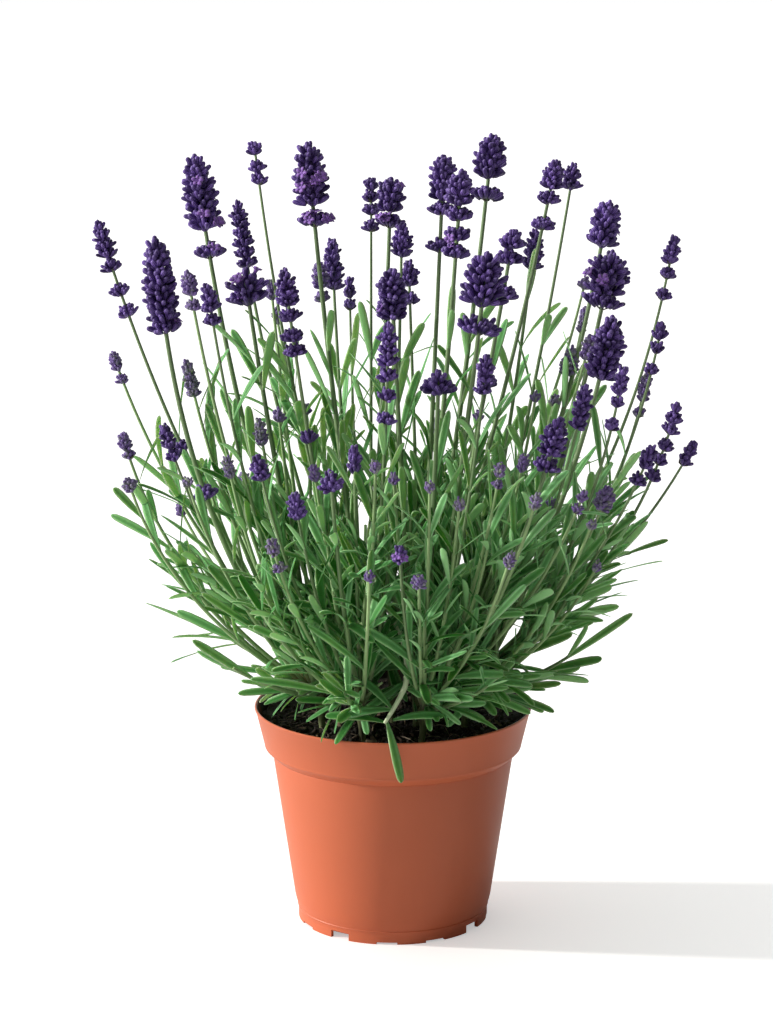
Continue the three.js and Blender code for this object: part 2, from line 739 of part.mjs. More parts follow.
spikes.forEach((stalk, i) => {
  stalk.topShare = 1 - (spikeFoot(stalk) + GAP) / stalk.length;
  stalk.name = `spike_${String(i + 1).padStart(2, '0')}`;
  takeRoom(spikeCapsules(stalk), stalk.name, stalk);
  const sides = stalk.width > HEAD.wide ? HEAD.sides : HEAD.narrowSides;
  lavender.add(namedMesh(stalk.name, stemGeometry(headRings(stalk), sides), materials.spike));
});

for (const stalk of young) {
  stalk.topShare = 1 - spikeFoot(stalk) / stalk.length;
  takeRoom(spikeCapsules(stalk), stalk.shoot.name, stalk);
}

for (const stalk of [...spikes, ...young, ...sprigs]) {
  takeRoom(capsulesAlong(stalk.curve, 0, stalk.topShare, 5, STALK.radius), stalk.shoot.name, stalk);
}

const draw = seededDraw(7);
sprigs.forEach((stalk) => growPairs(stalk, [0.95, 0.68, 0.4], draw));
[...young, ...spikes].forEach((stalk) => growPairs(stalk, [draw(0.3, 0.45)], draw));

for (const shoot of shoots) {
  let whole = toSolid(woodGeometry(shoot));
  for (const stalk of shoot.stalks) {
    const rings = stalkRings(stalk);
    if (stalk.kind === 'young') {
      rings.push(...headRings(stalk).slice(1));
    }
    whole = whole.add(toSolid(stemGeometry(rings, stalk.sides)));
  }
  lavender.add(namedMesh(shoot.name, toGeometry(mainBody(whole)), materials.shoot));
}

lavender.add(namedMesh('soil', makeSoil(shoots), materials.soil));
lavender.add(namedMesh('pot', makePot(), materials.pot));

export default lavender;
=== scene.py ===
"""Potted lavender in a round nursery pot, dressed for the render.

Sizes in this file are millimetres in the CAD frame unless a property says otherwise. Every
piece is made with bmesh, scaled to metres in its mesh and left at the origin.
"""

import functools
import itertools
import math
import random
from types import SimpleNamespace

import bmesh
import bpy
from bpy.props import FloatProperty, FloatVectorProperty, IntProperty, PointerProperty
from mathutils import Matrix, Vector, noise


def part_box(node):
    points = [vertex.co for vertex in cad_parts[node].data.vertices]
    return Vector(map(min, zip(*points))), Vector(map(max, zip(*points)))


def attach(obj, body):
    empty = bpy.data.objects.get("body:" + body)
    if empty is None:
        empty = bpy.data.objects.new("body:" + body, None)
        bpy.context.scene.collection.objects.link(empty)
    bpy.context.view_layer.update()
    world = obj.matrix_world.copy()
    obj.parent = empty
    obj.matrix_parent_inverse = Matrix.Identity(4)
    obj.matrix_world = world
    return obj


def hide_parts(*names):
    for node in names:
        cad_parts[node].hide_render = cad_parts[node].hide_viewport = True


bl_info = {
    "name": "Potted lavender",
    "version": (1, 0, 0),
    "blender": (4, 5, 0),
    "location": "View3D > Sidebar > Lavender",
    "description": "Makes a flowering lavender in a nursery pot, piece by piece",
    "category": "Add Mesh",
}

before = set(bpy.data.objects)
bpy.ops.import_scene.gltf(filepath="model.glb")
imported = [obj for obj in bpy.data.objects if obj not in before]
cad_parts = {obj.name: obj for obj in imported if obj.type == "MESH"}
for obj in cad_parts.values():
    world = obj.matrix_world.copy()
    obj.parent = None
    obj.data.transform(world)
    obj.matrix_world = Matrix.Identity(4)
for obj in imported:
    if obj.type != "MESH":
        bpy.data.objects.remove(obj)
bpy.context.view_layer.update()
pot_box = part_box("pot")
MM = 0.001
WELD = 1e-4                         # points nearer than this are one
BODY = "root"
UP = Vector((0, 0, 1))

# ------------------------------------------------------------------ sizes shared with the CAD

EYE = Vector((-3, -1400, 503))      # the front view is taken from here
# The collar and the slope under it lie where the photo shows them, 3 to 4 mm lower than in the CAD.
POT = SimpleNamespace(
    foot_radius=44.8,
    foot_ring=1.6,
    panel_foot=2.6,
    panel_top=4.2,
    ridge=6.3,
    wall_foot_radius=46.2,
    wall_top_radius=56.5,
    wall_top=80.5,
    collar_foot=84.2,
    collar_radius=60.4,
    wall=1.2,
)
NOTCH = SimpleNamespace(count=12, first=-34, deep=3.6, shallow=1.0, half=7, deep_every=3)
DRAIN = SimpleNamespace(count=6, radius=4.2, ring=27, sides=24)
SOIL_TOP = 94.5
SOIL_GAP = 0.3
STALK_SPREAD = 1.8
WOOD = SimpleNamespace(radius=3.4, knot=6.2, splay=1.15, foot=70)
SHOOT_RINGS = (
    # count, turn, root, reach, knot height, sprigs as (turn, out, height)
    (1, 0, 0, 0, 122, ((30, 12, 195),)),
    (4, 40, 15, 58, 117, ((0, 45, 205), (45, 38, 175))),
    (8, 22, 33, 122, 111, ((-14, 97, 168), (8, 84, 132), (22, 72, 192))),
)
SECTOR = SimpleNamespace(foot=117, top=367, most=2.2, reach=125)
WHORL_SHARE = 0.53
LOW_WHORL_SHARE = 0.38
LOW_WHORL = 60

# Spikes as seen from the front: x and z of the tip on the plane through the pot's axis, its
# depth towards the back, the head's length and width, the stalk's bow, and the distances of
# the separate whorls below the tip.
SPIKES = (
    (-134.5, 331, 0, 18, 9.5, 0.15, (22, 34, 44, 111)),
    (-108, 323, -45, 38, 14.5, 0.4, (41, 120)),
    (-90, 361, 40, 36, 15.5, 0.2, (47,)),
    (-71, 340, 85, 32, 10, 0.2, ()),
    (-68, 309, 5, 17, 19, 0.1, ()),
    (-63, 367, 15, 6, 8, 0.2, (12, 18)),
    (-85, 302, -75, 13, 8, 0.2, (17,)),
    (-50, 309, -75, 17, 10, 0.1, (22, 31, 38, 79)),
    (-39, 366, 30, 29, 16, 0.1, (37,)),
    (-28, 323, 95, 25, 10, 0.2, ()),
    (-20, 305, 112, 10, 7, 0.2, (14,)),
    (-10, 351, 60, 7, 8, 0.1, (10, 16, 24)),
    (-1, 351, 105, 17, 13.5, 0.2, (23,)),
    (4, 330, 20, 16, 9.5, 0, ()),
    (7, 313, 60, 12, 9.5, 0, (19,)),
    (-1, 309, -50, 23, 13.5, 0.1, ()),
    (-2, 284, -95, 14, 9, 0.3, (17, 24, 33, 44)),
    (23, 361, 20, 21, 12, 0, (26, 43)),
    (45, 370, 70, 21, 15, 0.1, (30,)),
    (31, 354, -30, 16, 12.5, 0.1, (21, 30, 38)),
    (43, 317, -65, 25, 19, 0.1, (36,)),
    (55, 327, -20, 9, 12.5, 0.1, (14, 30, 71)),
    (65, 327, 60, 19, 10, 0.1, ()),
    (74, 359, 0, 14, 11, 0.1, (19, 31)),
    (82, 357, 50, 12, 9.5, 0.1, ()),
    (98, 340, 45, 22, 14.5, 0.2, ()),
    (100, 317, -15, 21, 19, 0.2, (25,)),
    (101, 287, -50, 29, 14.5, 0.2, ()),
    (128, 324, 0, 9, 8, 0.3, (11, 18, 28)),
    (123, 284, -35, 8, 6.5, 0.3, (12, 22)),
    (106, 264, -72, 13, 7, 0.3, (17, 28)),
    (131, 247, -25, 10, 8, 0.3, (13, 21, 28, 36)),
    (139.5, 229, 5, 8, 7.5, 0.2, (11,)),
    (120, 227, -55, 12, 8, 0.2, (18,)),
    (89, 255, -78, 16, 8.5, 0.2, (19,)),
    (77, 240, -100, 18, 11.5, 0.2, (24,)),
    (43, 269, -90, 12, 8, 0.2, (16,)),
    (-106, 237, -30, 12, 7, 0.2, (16,)),
    (-63, 222, -85, 12, 8, 0.2, ()),
    (-46, 205, -98, 14, 8, 0.2, ()),
    (-29, 215, -108, 10, 11, 0.2, ()),
    (-18, 227, -100, 13, 6.5, 0.2, ()),
    (21, 262, -70, 11, 14.5, 0.1, ()),
    (3, 179, -112, 8, 8, 0.3, ()),
)

# Young spikes, still closed, in the same columns.
YOUNG = (
    (-129, 271, 10, 10, 6, 0.2, (14,)),
    (-34, 312, 62, 13, 8, 0, (17,)),
    (-94, 308, -60, 11, 7, 0.2, (16,)),
    (-56, 304, 40, 10, 5, 0.1, ()),
    (-54, 291, 70, 8, 4.5, 0.1, ()),
    (88, 292, 80, 13, 5, 0.2, ()),
    (88, 305, 95, 6, 8, 0.2, ()),
    (91, 279, -20, 12, 6, 0.1, ()),
    (83, 273, 40, 14, 8, 0.1, ()),
    (117, 261, -15, 14, 6, 0.3, (19,)),
    (66, 252, -20, 5, 5, 0.1, ()),
    (75, 251, 30, 6, 6, 0.1, ()),
    (50, 219, -100, 7, 5, 0.2, (11,)),
    (61, 223, -70, 9, 5, 0.2, ()),
    (67, 204, -108, 8, 5, 0.2, ()),
    (74, 202, -60, 5, 5, 0.2, ()),
    (89, 206, -90, 6, 5, 0.2, (10,)),
    (100, 207, -60, 12, 9, 0.2, ()),
    (93, 192, -85, 6, 4.5, 0.2, ()),
    (55, 176, -118, 8, 5, 0.2, ()),
    (96, 172, -70, 6, 4.5, 0.2, ()),
    (-125, 233, -15, 9, 6, 0.3, (11,)),
    (-123, 212, -40, 7, 6.5, 0.3, ()),
    (-95, 267, -10, 17, 6.5, 0.2, ()),
    (-77, 222, -60, 11, 5, 0.2, ()),
    (-53, 244, -30, 6, 6.5, 0.1, ()),
    (-40, 247, 30, 6, 5, 0.1, ()),
    (-62, 239, -45, 12, 6, 0.1, ()),
    (-57, 183, -100, 9, 6, 0.2, (16,)),
    (-96, 212, -70, 5, 5, 0.2, ()),
    (-37, 218, -80, 9, 5, 0.1, ()),
    (-8, 220, -112, 7, 5, 0.2, ()),
    (0, 214, -90, 6, 5, 0.2, ()),
    (40, 244, -60, 6, 5, 0.1, ()),
    (17, 210, -118, 6, 4.5, 0.2, ()),
    (31, 202, -112, 6, 5, 0.2, ()),
    (-11, 167, -118, 6, 4.5, 0.2, ()),
    (12, 165, -115, 7, 6, 0.2, ()),
    (-70, 215, 100, 9, 6, 0.2, (13,)),
    (-40, 235, 112, 10, 6, 0.2, ()),
    (-10, 205, 118, 7, 5, 0.2, ()),
    (20, 240, 110, 10, 7, 0.2, (14,)),
    (50, 210, 112, 8, 5, 0.2, ()),
    (80, 225, 90, 9, 6, 0.2, ()),
    (-100, 200, 70, 7, 5, 0.2, ()),
    (105, 200, 65, 7, 5, 0.2, ()),
)

# Where open florets are seen from the front: x and z on the plane through the pot's axis.
OPEN_FLORETS = (
    (-37.7, 348.3), (-34, 350), (-41, 347), (-39.6, 333.3), (-30.1, 332.4), (-5.1, 332.4),
    (43.4, 339.7), (26.3, 320.6), (39, 319.7), (-70.3, 305.5), (-76.2, 309.1), (96.1, 303.6),
    (100, 201), (103, 198), (-56.4, 165.3), (2.8, 174.4), (-85.4, 335.6), (-81, 328.8),
)

# ------------------------------------------------------------------ settings


class LavenderPotSettings(bpy.types.PropertyGroup):
    """Sizes and colour of the pot."""

    rim_radius: FloatProperty(
        name="Rim radius", description="Outside radius of the rim", default=0.065, unit="LENGTH"
    )
    height: FloatProperty(
        name="Height", description="Height of the pot", default=pot_box[1].z, unit="LENGTH"
    )
    facets: IntProperty(name="Facets", description="Faces round the pot", default=144)
    colour: FloatVectorProperty(
        name="Colour",
        description="Colour of the moulded plastic",
        default=(0.60, 0.137, 0.054),
        subtype="COLOR",
    )


class LavenderSoilSettings(bpy.types.PropertyGroup):
    """Look of the potting soil."""

    crumbs: IntProperty(name="Crumbs", description="Loose crumbs of peat", default=1300)
    chips: IntProperty(name="Chips", description="Chips of wood and bark", default=85)
    roots: IntProperty(name="Roots", description="Thin pale roots and fibres", default=130)
    clod_height: FloatProperty(
        name="Clod height", description="Height of the clods", default=0.0026, unit="LENGTH"
    )
    colour: FloatVectorProperty(
        name="Colour",
        description="Colour of moist peat",
        default=(0.011, 0.008, 0.006),
        subtype="COLOR",
    )


class LavenderGreenSettings(bpy.types.PropertyGroup):
    """Stalks and leaves."""

    leaf_length: FloatProperty(
        name="Leaf length", description="Length of a full leaf", default=0.040, unit="LENGTH"
    )
    leaf_width: FloatProperty(
        name="Leaf width", description="Width of a full leaf", default=0.0044, unit="LENGTH"
    )
    stalk_radius: FloatProperty(
        name="Stalk radius", description="Half width of a stalk", default=0.0013, unit="LENGTH"
    )
    twigs: IntProperty(name="Twigs", description="Leafy side twigs on each shoot", default=4)
    low_twigs: IntProperty(name="Low twigs", description="Twigs near the soil", default=3)
    leaf_colour: FloatVectorProperty(
        name="Leaf colour",
        description="Colour of a leaf's upper side",
        default=(0.048, 0.275, 0.032),
        subtype="COLOR",
    )
    stalk_colour: FloatVectorProperty(
        name="Stalk colour",
        description="Colour of a flower stalk",
        default=(0.115, 0.175, 0.085),
        subtype="COLOR",
    )


class LavenderFlowerSettings(bpy.types.PropertyGroup):
    """Flower spikes."""

    tier_pitch: FloatProperty(
        name="Tier pitch", description="Between tiers of buds", default=0.0043, unit="LENGTH"
    )
    bud_radius: FloatProperty(
        name="Bud radius", description="Half width of a bud", default=0.00108, unit="LENGTH"
    )
    bud_colour: FloatVectorProperty(
        name="Bud colour",
        description="Colour of a ripe bud",
        default=(0.062, 0.022, 0.195),
        subtype="COLOR",
    )
    petal_colour: FloatVectorProperty(
        name="Petal colour",
        description="Colour of an open floret",
        default=(0.34, 0.15, 0.62),
        subtype="COLOR",
    )


class LavenderStageSettings(bpy.types.PropertyGroup):
    """Camera, floor and lights."""

    lens: FloatProperty(name="Lens", description="Focal length in millimetres", default=108.72)
    pitch: FloatProperty(
        name="Pitch", description="How far the camera looks down", default=0.2162, subtype="ANGLE"
    )
    sun_power: FloatProperty(name="Sun power", description="Power of the left light", default=3.2)
    sky_left: FloatProperty(
        name="Left wall", description="Studio light from the left", default=1.12
    )
    sky_right: FloatProperty(
        name="Right wall", description="Studio light from the right", default=0.0
    )


# ------------------------------------------------------------------ mesh helpers


def in_mm(length):
    return length / MM


def new_bmesh():
    """An empty bmesh with the layers that the materials read."""
    bm = bmesh.new()
    bm.loops.layers.uv.new("UVMap")
    bm.faces.layers.float.new("tone")
    return bm


def circle(sides, flat=1.0):
    """Outline of a round or square stem; flat under 1 sinks every second point."""
    outline = []
    for i in range(sides):
        angle, radius = 2 * math.pi * i / sides, flat if i % 2 else 1.0
        outline.append((math.cos(angle) * radius, math.sin(angle) * radius))
    return outline


def finish_faces(bm, faces, material, tone):
    layer = bm.faces.layers.float["tone"]
    for face in faces:
        face.smooth = True
        face.material_index = material
        face[layer] = tone


def skin(bm, stations, outline, material=0, tone=0.5):
    """Skin over stations (centre, side, back, half width, half depth), with side x back along
    the stem. A station of no width closes an end."""
    rows = len(stations) - 1
    sides = len(outline)
    made = bmesh.ops.create_grid(bm, x_segments=sides, y_segments=rows, size=1, calc_uvs=True)
    for vert in made["verts"]:
        centre, side, back, half_width, half_depth = stations[round((vert.co.y + 1) / 2 * rows)]
        a, b = outline[round((vert.co.x + 1) / 2 * sides) % sides]
        vert.co = centre + side * (a * half_width) + back * (b * half_depth)
    finish_faces(bm, {face for vert in made["verts"] for face in vert.link_faces}, material, tone)
    bmesh.ops.remove_doubles(bm, verts=made["verts"], dist=WELD)


def turned(bm, profile, facets):
    """Body turned round the Z axis from a profile of (radius, z)."""
    verts = [bm.verts.new((radius, 0, z)) for radius, z in profile]
    edges = [bm.edges.new(pair) for pair in zip(verts, verts[1:])]
    bmesh.ops.spin(
        bm,
        geom=verts + edges,
        cent=(0, 0, 0),
        axis=UP,
        angle=2 * math.pi,
        steps=facets,
        use_merge=True,
    )
    bmesh.ops.remove_doubles(bm, verts=bm.verts, dist=WELD)
    bmesh.ops.recalc_face_normals(bm, faces=bm.faces)
    finish_faces(bm, bm.faces, 0, 0.5)


def mesh_from(bm, name):
    """Mesh of a finished bmesh, which is freed."""
    mesh = bpy.data.meshes.new(name)
    bm.to_mesh(mesh)
    bm.free()
    return mesh


def placed(name, data):
    """New object in the scene."""
    made = bpy.data.objects.new(name, data)
    bpy.context.scene.collection.objects.link(made)
    return made


def stamp(bm, shape, matrix, tone):
    """Adds a copy of a small mesh."""
    copy = shape.copy()
    copy.transform(matrix)
    copy.attributes["tone"].data.foreach_set("value", [tone] * len(copy.polygons))
    bm.from_mesh(copy)
    bpy.data.meshes.remove(copy)


def sharpen(bm, degrees):
    """Keeps the edges crisp where the surface turns by more than this."""
    for edge in bm.edges:
        edge.smooth = edge.calc_face_angle(0) < math.radians(degrees)


def add_piece(name, bm, materials, replaced=()):
    """Makes an object of a finished bmesh and hands it to the frame."""
    bmesh.ops.scale(bm, vec=(MM, MM, MM), verts=bm.verts)
    mesh = mesh_from(bm, name)
    for material in materials:
        mesh.materials.append(material)
    piece = placed(name, mesh)
    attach(piece, BODY)
    if replaced:
        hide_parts(*replaced)
    return piece


def across(direction):
    """Two directions across a stem, side and back, with side x back along it."""
    side = Vector((1, 0, 0))
    side = (side - direction * side.dot(direction)).normalized()
    return side, direction.cross(side)


def outward_at(direction, angle):
    """Direction that leads straight out of a stem, at an angle round it."""
    side, back = across(direction)
    return side * math.cos(angle) + back * math.sin(angle)


def aimed(place, direction, spin, scale):
    """Matrix that sets a shape grown along +Z at a place, along a direction."""
    turn = direction.to_track_quat("Z", "Y").to_matrix().to_4x4() @ Matrix.Rotation(spin, 4, "Z")
    return Matrix.Translation(place) @ turn @ Matrix.Diagonal((*scale, 1))


class Bend:
    """Quadratic curve that is read by its share of length."""

    marks = 32

    def __init__(self, start, control, end):
        self.points = (start, control, end)
        self.reach = [0.0]
        last = start
        for i in range(1, self.marks + 1):
            place = self.place(i / self.marks)
            self.reach.append(self.reach[-1] + (place - last).length)
            last = place
        self.length = self.reach[-1]

    def place(self, t):
        start, control, end = self.points
        return start * (1 - t) ** 2 + control * (2 * t * (1 - t)) + end * t * t

    def time(self, share):
        """Where the curve has run a share of its length."""
        goal = min(max(share, 0), 1) * self.length
        i = 1
        while i < self.marks and self.reach[i] < goal:
            i += 1
        step = self.reach[i] - self.reach[i - 1]
        return (i - 1 + (goal - self.reach[i - 1]) / step) / self.marks

    def at(self, share):
        return self.place(self.time(share))

    def along(self, share):
        start, control, end = self.points
        t = self.time(share)
        return ((control - start) * (1 - t) + (end - control) * t).normalized()


# ------------------------------------------------------------------ where the plant grows


class Shoot:
    """Rooted shoot: a woody base with a knot, where its stalks branch."""

    def __init__(self, number, ring, index):
        count, turn, root, reach, knot_height, self.sprigs = ring
        self.number = number
        self.angle = math.radians(turn + index * 360 / count)
        outward = Vector((math.cos(self.angle), math.sin(self.angle), 0))
        self.root = outward * root + UP * WOOD.foot
        self.knot = outward * (root * WOOD.splay) + UP * knot_height
        self.reach = outward * reach
        self.stalks = []


class Stalk:
    """One stalk of a shoot, with or without a spike on it."""

    def __init__(self, shoot, kind, tip, head=0, width=0, bow=0.15, whorls=()):
        self.shoot = shoot
        self.kind = kind
        self.tip = tip
        self.head = head
        self.width = width
        self.bow = bow
        self.whorls = whorls
        self.curve = None

    def route(self, start):
        bend = 0.5 + self.bow
        control = start.lerp(self.tip, bend)
        control.z = start.z + (self.tip.z - start.z) * (0.5 - 0.3 * self.bow)
        self.curve = Bend(start, control, self.tip)

    def below_tip(self, distance):
        """Place and direction at a distance below the tip."""
        share = 1 - distance / self.curve.length
        return self.curve.at(share), self.curve.along(share)

    def foot(self):
        """Distance below the tip where the spike's lowest buds sit."""
        return max((self.head, *self.whorls))


def seen_at(x, z, depth):
    """Moves a place seen on the axis plane along the line of sight to its real depth."""
    return EYE.lerp(Vector((x, 0, z)), 1 - depth / EYE.y)


def seen_from_front(place):
    """Where a real place is seen on the axis plane."""
    return EYE.lerp(place, EYE.y / (EYE.y - place.y))


def shoot_for(shoots, tip):
    rise = tip.z - SECTOR.foot
    scale = min((SECTOR.top - SECTOR.foot) / rise, SECTOR.most)
    place = Vector((tip.x * scale, tip.y * scale, 0))
    if place.length > SECTOR.reach:
        place = place.normalized() * SECTOR.reach
    return min(shoots, key=lambda shoot: (shoot.reach - place).length)


@functools.cache
def plant():
    """All shoots with their stalks routed, by the same rule as the CAD."""
    shoots = []
    for ring in SHOOT_RINGS:
        for index in range(ring[0]):
            shoots.append(Shoot(len(shoots) + 1, ring, index))
    for kind, rows in (("spike", SPIKES), ("young", YOUNG)):
        for number, (x, z, depth, head, width, bow, whorls) in enumerate(rows, start=1):
            tip = seen_at(x, z, depth)
            stalk = Stalk(shoot_for(shoots, tip), kind, tip, head, width, bow, whorls)
            stalk.number = number
            stalk.shoot.stalks.append(stalk)
    for shoot in shoots:
        for turn, out, height in shoot.sprigs:
            angle = shoot.angle + math.radians(turn)
            tip = Vector((out * math.cos(angle), out * math.sin(angle), height))
            shoot.stalks.append(Stalk(shoot, "sprig", tip))
        leans = [(stalk.tip - shoot.knot).normalized() for stalk in shoot.stalks]
        mean = sum(leans, Vector()).normalized()
        for stalk, lean in zip(shoot.stalks, leans):
            spread = (mean + (lean - mean) * STALK_SPREAD).normalized()
            stalk.route(shoot.knot + spread * (WOOD.knot * 0.6))
    return shoots


def stalks_of(kind):
    return [stalk for shoot in plant() for stalk in shoot.stalks if stalk.kind == kind]


# ------------------------------------------------------------------ materials


class Finish:
    """A material whose shader is fed by procedural nodes."""

    def __init__(self, name, roughness, sheen=0.0, specular=0.5):
        self.material = bpy.data.materials.new(name)
        self.material.use_nodes = True
        self.tree = self.material.node_tree
        self.shader = self.tree.nodes["Principled BSDF"]
        self.shader.inputs["Roughness"].default_value = roughness
        self.shader.inputs["Specular IOR Level"].default_value = specular
        self.shader.inputs["Sheen Weight"].default_value = sheen
        self.shader.inputs["Sheen Roughness"].default_value = 0.5

    def node(self, kind, settings, inputs):
        made = self.tree.nodes.new(kind)
        for key, value in settings.items():
            setattr(made, key, value)
        for key, value in inputs.items():
            self.feed(made.inputs[key], value)
        return made

    def feed(self, socket, value):
        if isinstance(value, bpy.types.NodeSocket):
            self.tree.links.new(value, socket)
        elif isinstance(value, (tuple, list, bpy.types.bpy_prop_array)) and len(value) == 3:
            socket.default_value = (*value, 1)
        else:
            socket.default_value = value

    def noise(self, scale, detail=3, stretch=None):
        """Noise in the piece's own space, in features per metre."""
        place = self.tree.nodes.new("ShaderNodeTexCoord").outputs["Object"]
        if stretch:
            mapping = self.tree.nodes.new("ShaderNodeMapping")
            mapping.inputs["Scale"].default_value = stretch
            self.feed(mapping.inputs["Vector"], place)
            place = mapping.outputs["Vector"]
        made = self.node(
            "ShaderNodeTexNoise", {}, {"Vector": place, "Scale": scale, "Detail": detail}
        )
        return made.outputs["Fac"]

    def tone(self):
        return self.node("ShaderNodeAttribute", {"attribute_name": "tone"}, {}).outputs["Fac"]

    def along(self, axis):
        """The piece's UV: X runs round a stem or leaf, Y along it."""
        uv = self.tree.nodes.new("ShaderNodeUVMap")
        uv.uv_map = "UVMap"
        parts = self.node("ShaderNodeSeparateXYZ", {}, {"Vector": uv.outputs["UV"]})
        return parts.outputs[axis]

    def math(self, operation, first, second=0.0):
        made = self.node("ShaderNodeMath", {"operation": operation}, {0: first, 1: second})
        return made.outputs[0]

    def times(self, first, second):
        return self.math("MULTIPLY", first, second)

    def between(self, value, low, high):
        """0 below low, 1 above high."""
        return self.node(
            "ShaderNodeMapRange", {"interpolation_type": "SMOOTHSTEP"},
            {"Value": value, "From Min": low, "From Max": high},
        ).outputs["Result"]

    def mix(self, share, first, second):
        return self.node(
            "ShaderNodeMix", {"data_type": "RGBA"}, {0: share, 6: first, 7: second}
        ).outputs[2]

    def colour(self, value):
        self.feed(self.shader.inputs["Base Color"], value)

    def roughness(self, value, low, high):
        spread = self.node(
            "ShaderNodeMapRange", {}, {"Value": value, "To Min": low, "To Max": high}
        )
        self.feed(self.shader.inputs["Roughness"], spread.outputs["Result"])

    def bump(self, height, depth, strength=1.0):
        made = self.node(
            "ShaderNodeBump", {}, {"Height": height, "Distance": depth, "Strength": strength}
        )
        self.feed(self.shader.inputs["Normal"], made.outputs["Normal"])


def shaded(colour, factor):
    return tuple(min(channel * factor, 1) for channel in colour)


@functools.cache
def plastic_finish():
    colour = tuple(bpy.context.scene.lavender_pot.colour)
    finish = Finish("terracotta_plastic", 0.42, specular=0.45)
    clouds = finish.noise(22, 4)
    base = finish.mix(clouds, shaded(colour, 0.93), shaded(colour, 1.06))
    # Dark brown blotches on the inner wall: peat stain and painted shade inside the pot.
    stain_and_shade_blotches = finish.between(finish.noise(130, 4), 0.15, 0.50)
    stain_and_shade = finish.times(finish.tone(), stain_and_shade_blotches)
    finish.colour(finish.mix(stain_and_shade, base, (0.030, 0.018, 0.012)))
    finish.roughness(finish.noise(60, 5), 0.36, 0.50)
    finish.bump(finish.noise(1400, 2), 0.00006, 0.5)
    return finish.material


@functools.cache
def peat_finish():
    colour = tuple(bpy.context.scene.lavender_soil.colour)
    finish = Finish("moist_peat", 0.9, specular=0.25)
    fibres = finish.noise(420, 6, (1, 2.5, 1.4))
    warm = finish.mix(finish.between(fibres, 0.45, 0.75), colour, (0.040, 0.024, 0.014))
    pale = finish.between(finish.noise(900, 3), 0.70, 0.78)
    finish.colour(finish.mix(pale, warm, (0.12, 0.09, 0.065)))
    finish.roughness(fibres, 0.65, 1.0)
    finish.bump(finish.noise(700, 8), 0.0012)
    return finish.material


@functools.cache
def litter_finish(name, dark, light):
    """Crumbs, chips and roots: the tone picks between dark and light."""
    finish = Finish(name, 0.85, specular=0.3)
    base = finish.mix(finish.tone(), dark, light)
    grain = finish.noise(900, 4, (1, 1, 0.3))
    finish.colour(finish.mix(finish.times(grain, 0.6), base, shaded(dark, 0.6)))
    finish.bump(grain, 0.0003)
    return finish.material


@functools.cache
def stalk_finish(name="stalk_green", fresh_colour=(0.38, 0.57, 0.24)):
    """Square stalks: pale edges, fresher green lower down, woody and brown at the foot."""
    colour = tuple(bpy.context.scene.lavender_green.stalk_colour)
    finish = Finish(name, 0.55, sheen=0.06, specular=0.35)
    fresh = finish.times(finish.between(finish.along("Y"), 0.75, 0.25), 0.55)
    light = finish.mix(finish.math("MAXIMUM", finish.tone(), fresh), colour, fresh_colour)
    streaks = finish.noise(500, 3, (1, 1, 0.08))
    green = finish.mix(finish.times(streaks, 0.5), light, shaded(colour, 0.5))
    wave = finish.math("COSINE", finish.times(finish.along("X"), 4 * math.pi))
    ribs = finish.math("ABSOLUTE", wave)
    ribbed = finish.mix(finish.times(ribs, 0.35), green, fresh_colour)
    woody = finish.between(finish.along("Y"), 0.20, 0.04)
    finish.colour(finish.mix(woody, ribbed, (0.17, 0.15, 0.055)))
    finish.bump(streaks, 0.0002)
    return finish.material


@functools.cache
def bark_finish():
    finish = Finish("young_bark", 0.85, specular=0.25)
    strips = finish.noise(260, 6, (1, 1, 0.18))
    base = finish.mix(finish.between(strips, 0.35, 0.65), (0.060, 0.058, 0.028), (0.20, 0.24, 0.10))
    finish.colour(base)
    finish.bump(strips, 0.0008)
    return finish.material


@functools.cache
def leaf_finish():
    """Leaf: deep green above with painted shade in its channel and a pale rim, greyer below."""
    colour = tuple(bpy.context.scene.lavender_green.leaf_colour)
    finish = Finish("leaf_green", 0.55, specular=0.12)
    finish.shader.inputs["Subsurface Weight"].default_value = 0.35
    finish.shader.inputs["Subsurface Radius"].default_value = (1.0, 1.0, 0.6)
    finish.shader.inputs["Subsurface Scale"].default_value = 0.0012
    tone = finish.mix(finish.tone(), (0.010, 0.105, 0.010), (0.35, 0.76, 0.34))
    spots = finish.times(finish.noise(420, 4), 0.5)
    mottle = finish.mix(spots, tone, colour)
    turn = finish.times(finish.along("X"), 2 * math.pi)
    round_leaf = finish.math("SINE", turn)
    # Painted shade: the middle of the upper side, down in the channel, is mixed darker.
    channel = finish.between(round_leaf, 0.72, 1.0)
    with_painted_channel_shade = finish.mix(finish.times(channel, 0.5), mottle, shaded(colour, 0.5))
    rim = finish.between(finish.math("ABSOLUTE", finish.math("COSINE", turn)), 0.78, 1.0)
    rimmed = finish.mix(finish.times(rim, 0.4), with_painted_channel_shade, (0.35, 0.66, 0.26))
    under = finish.between(round_leaf, 0.0, -0.35)
    finish.colour(finish.mix(finish.times(under, 0.7), rimmed, (0.29, 0.57, 0.24)))
    finish.roughness(finish.noise(300, 4), 0.42, 0.66)
    finish.bump(finish.noise(1100, 4), 0.00012)
    return finish.material


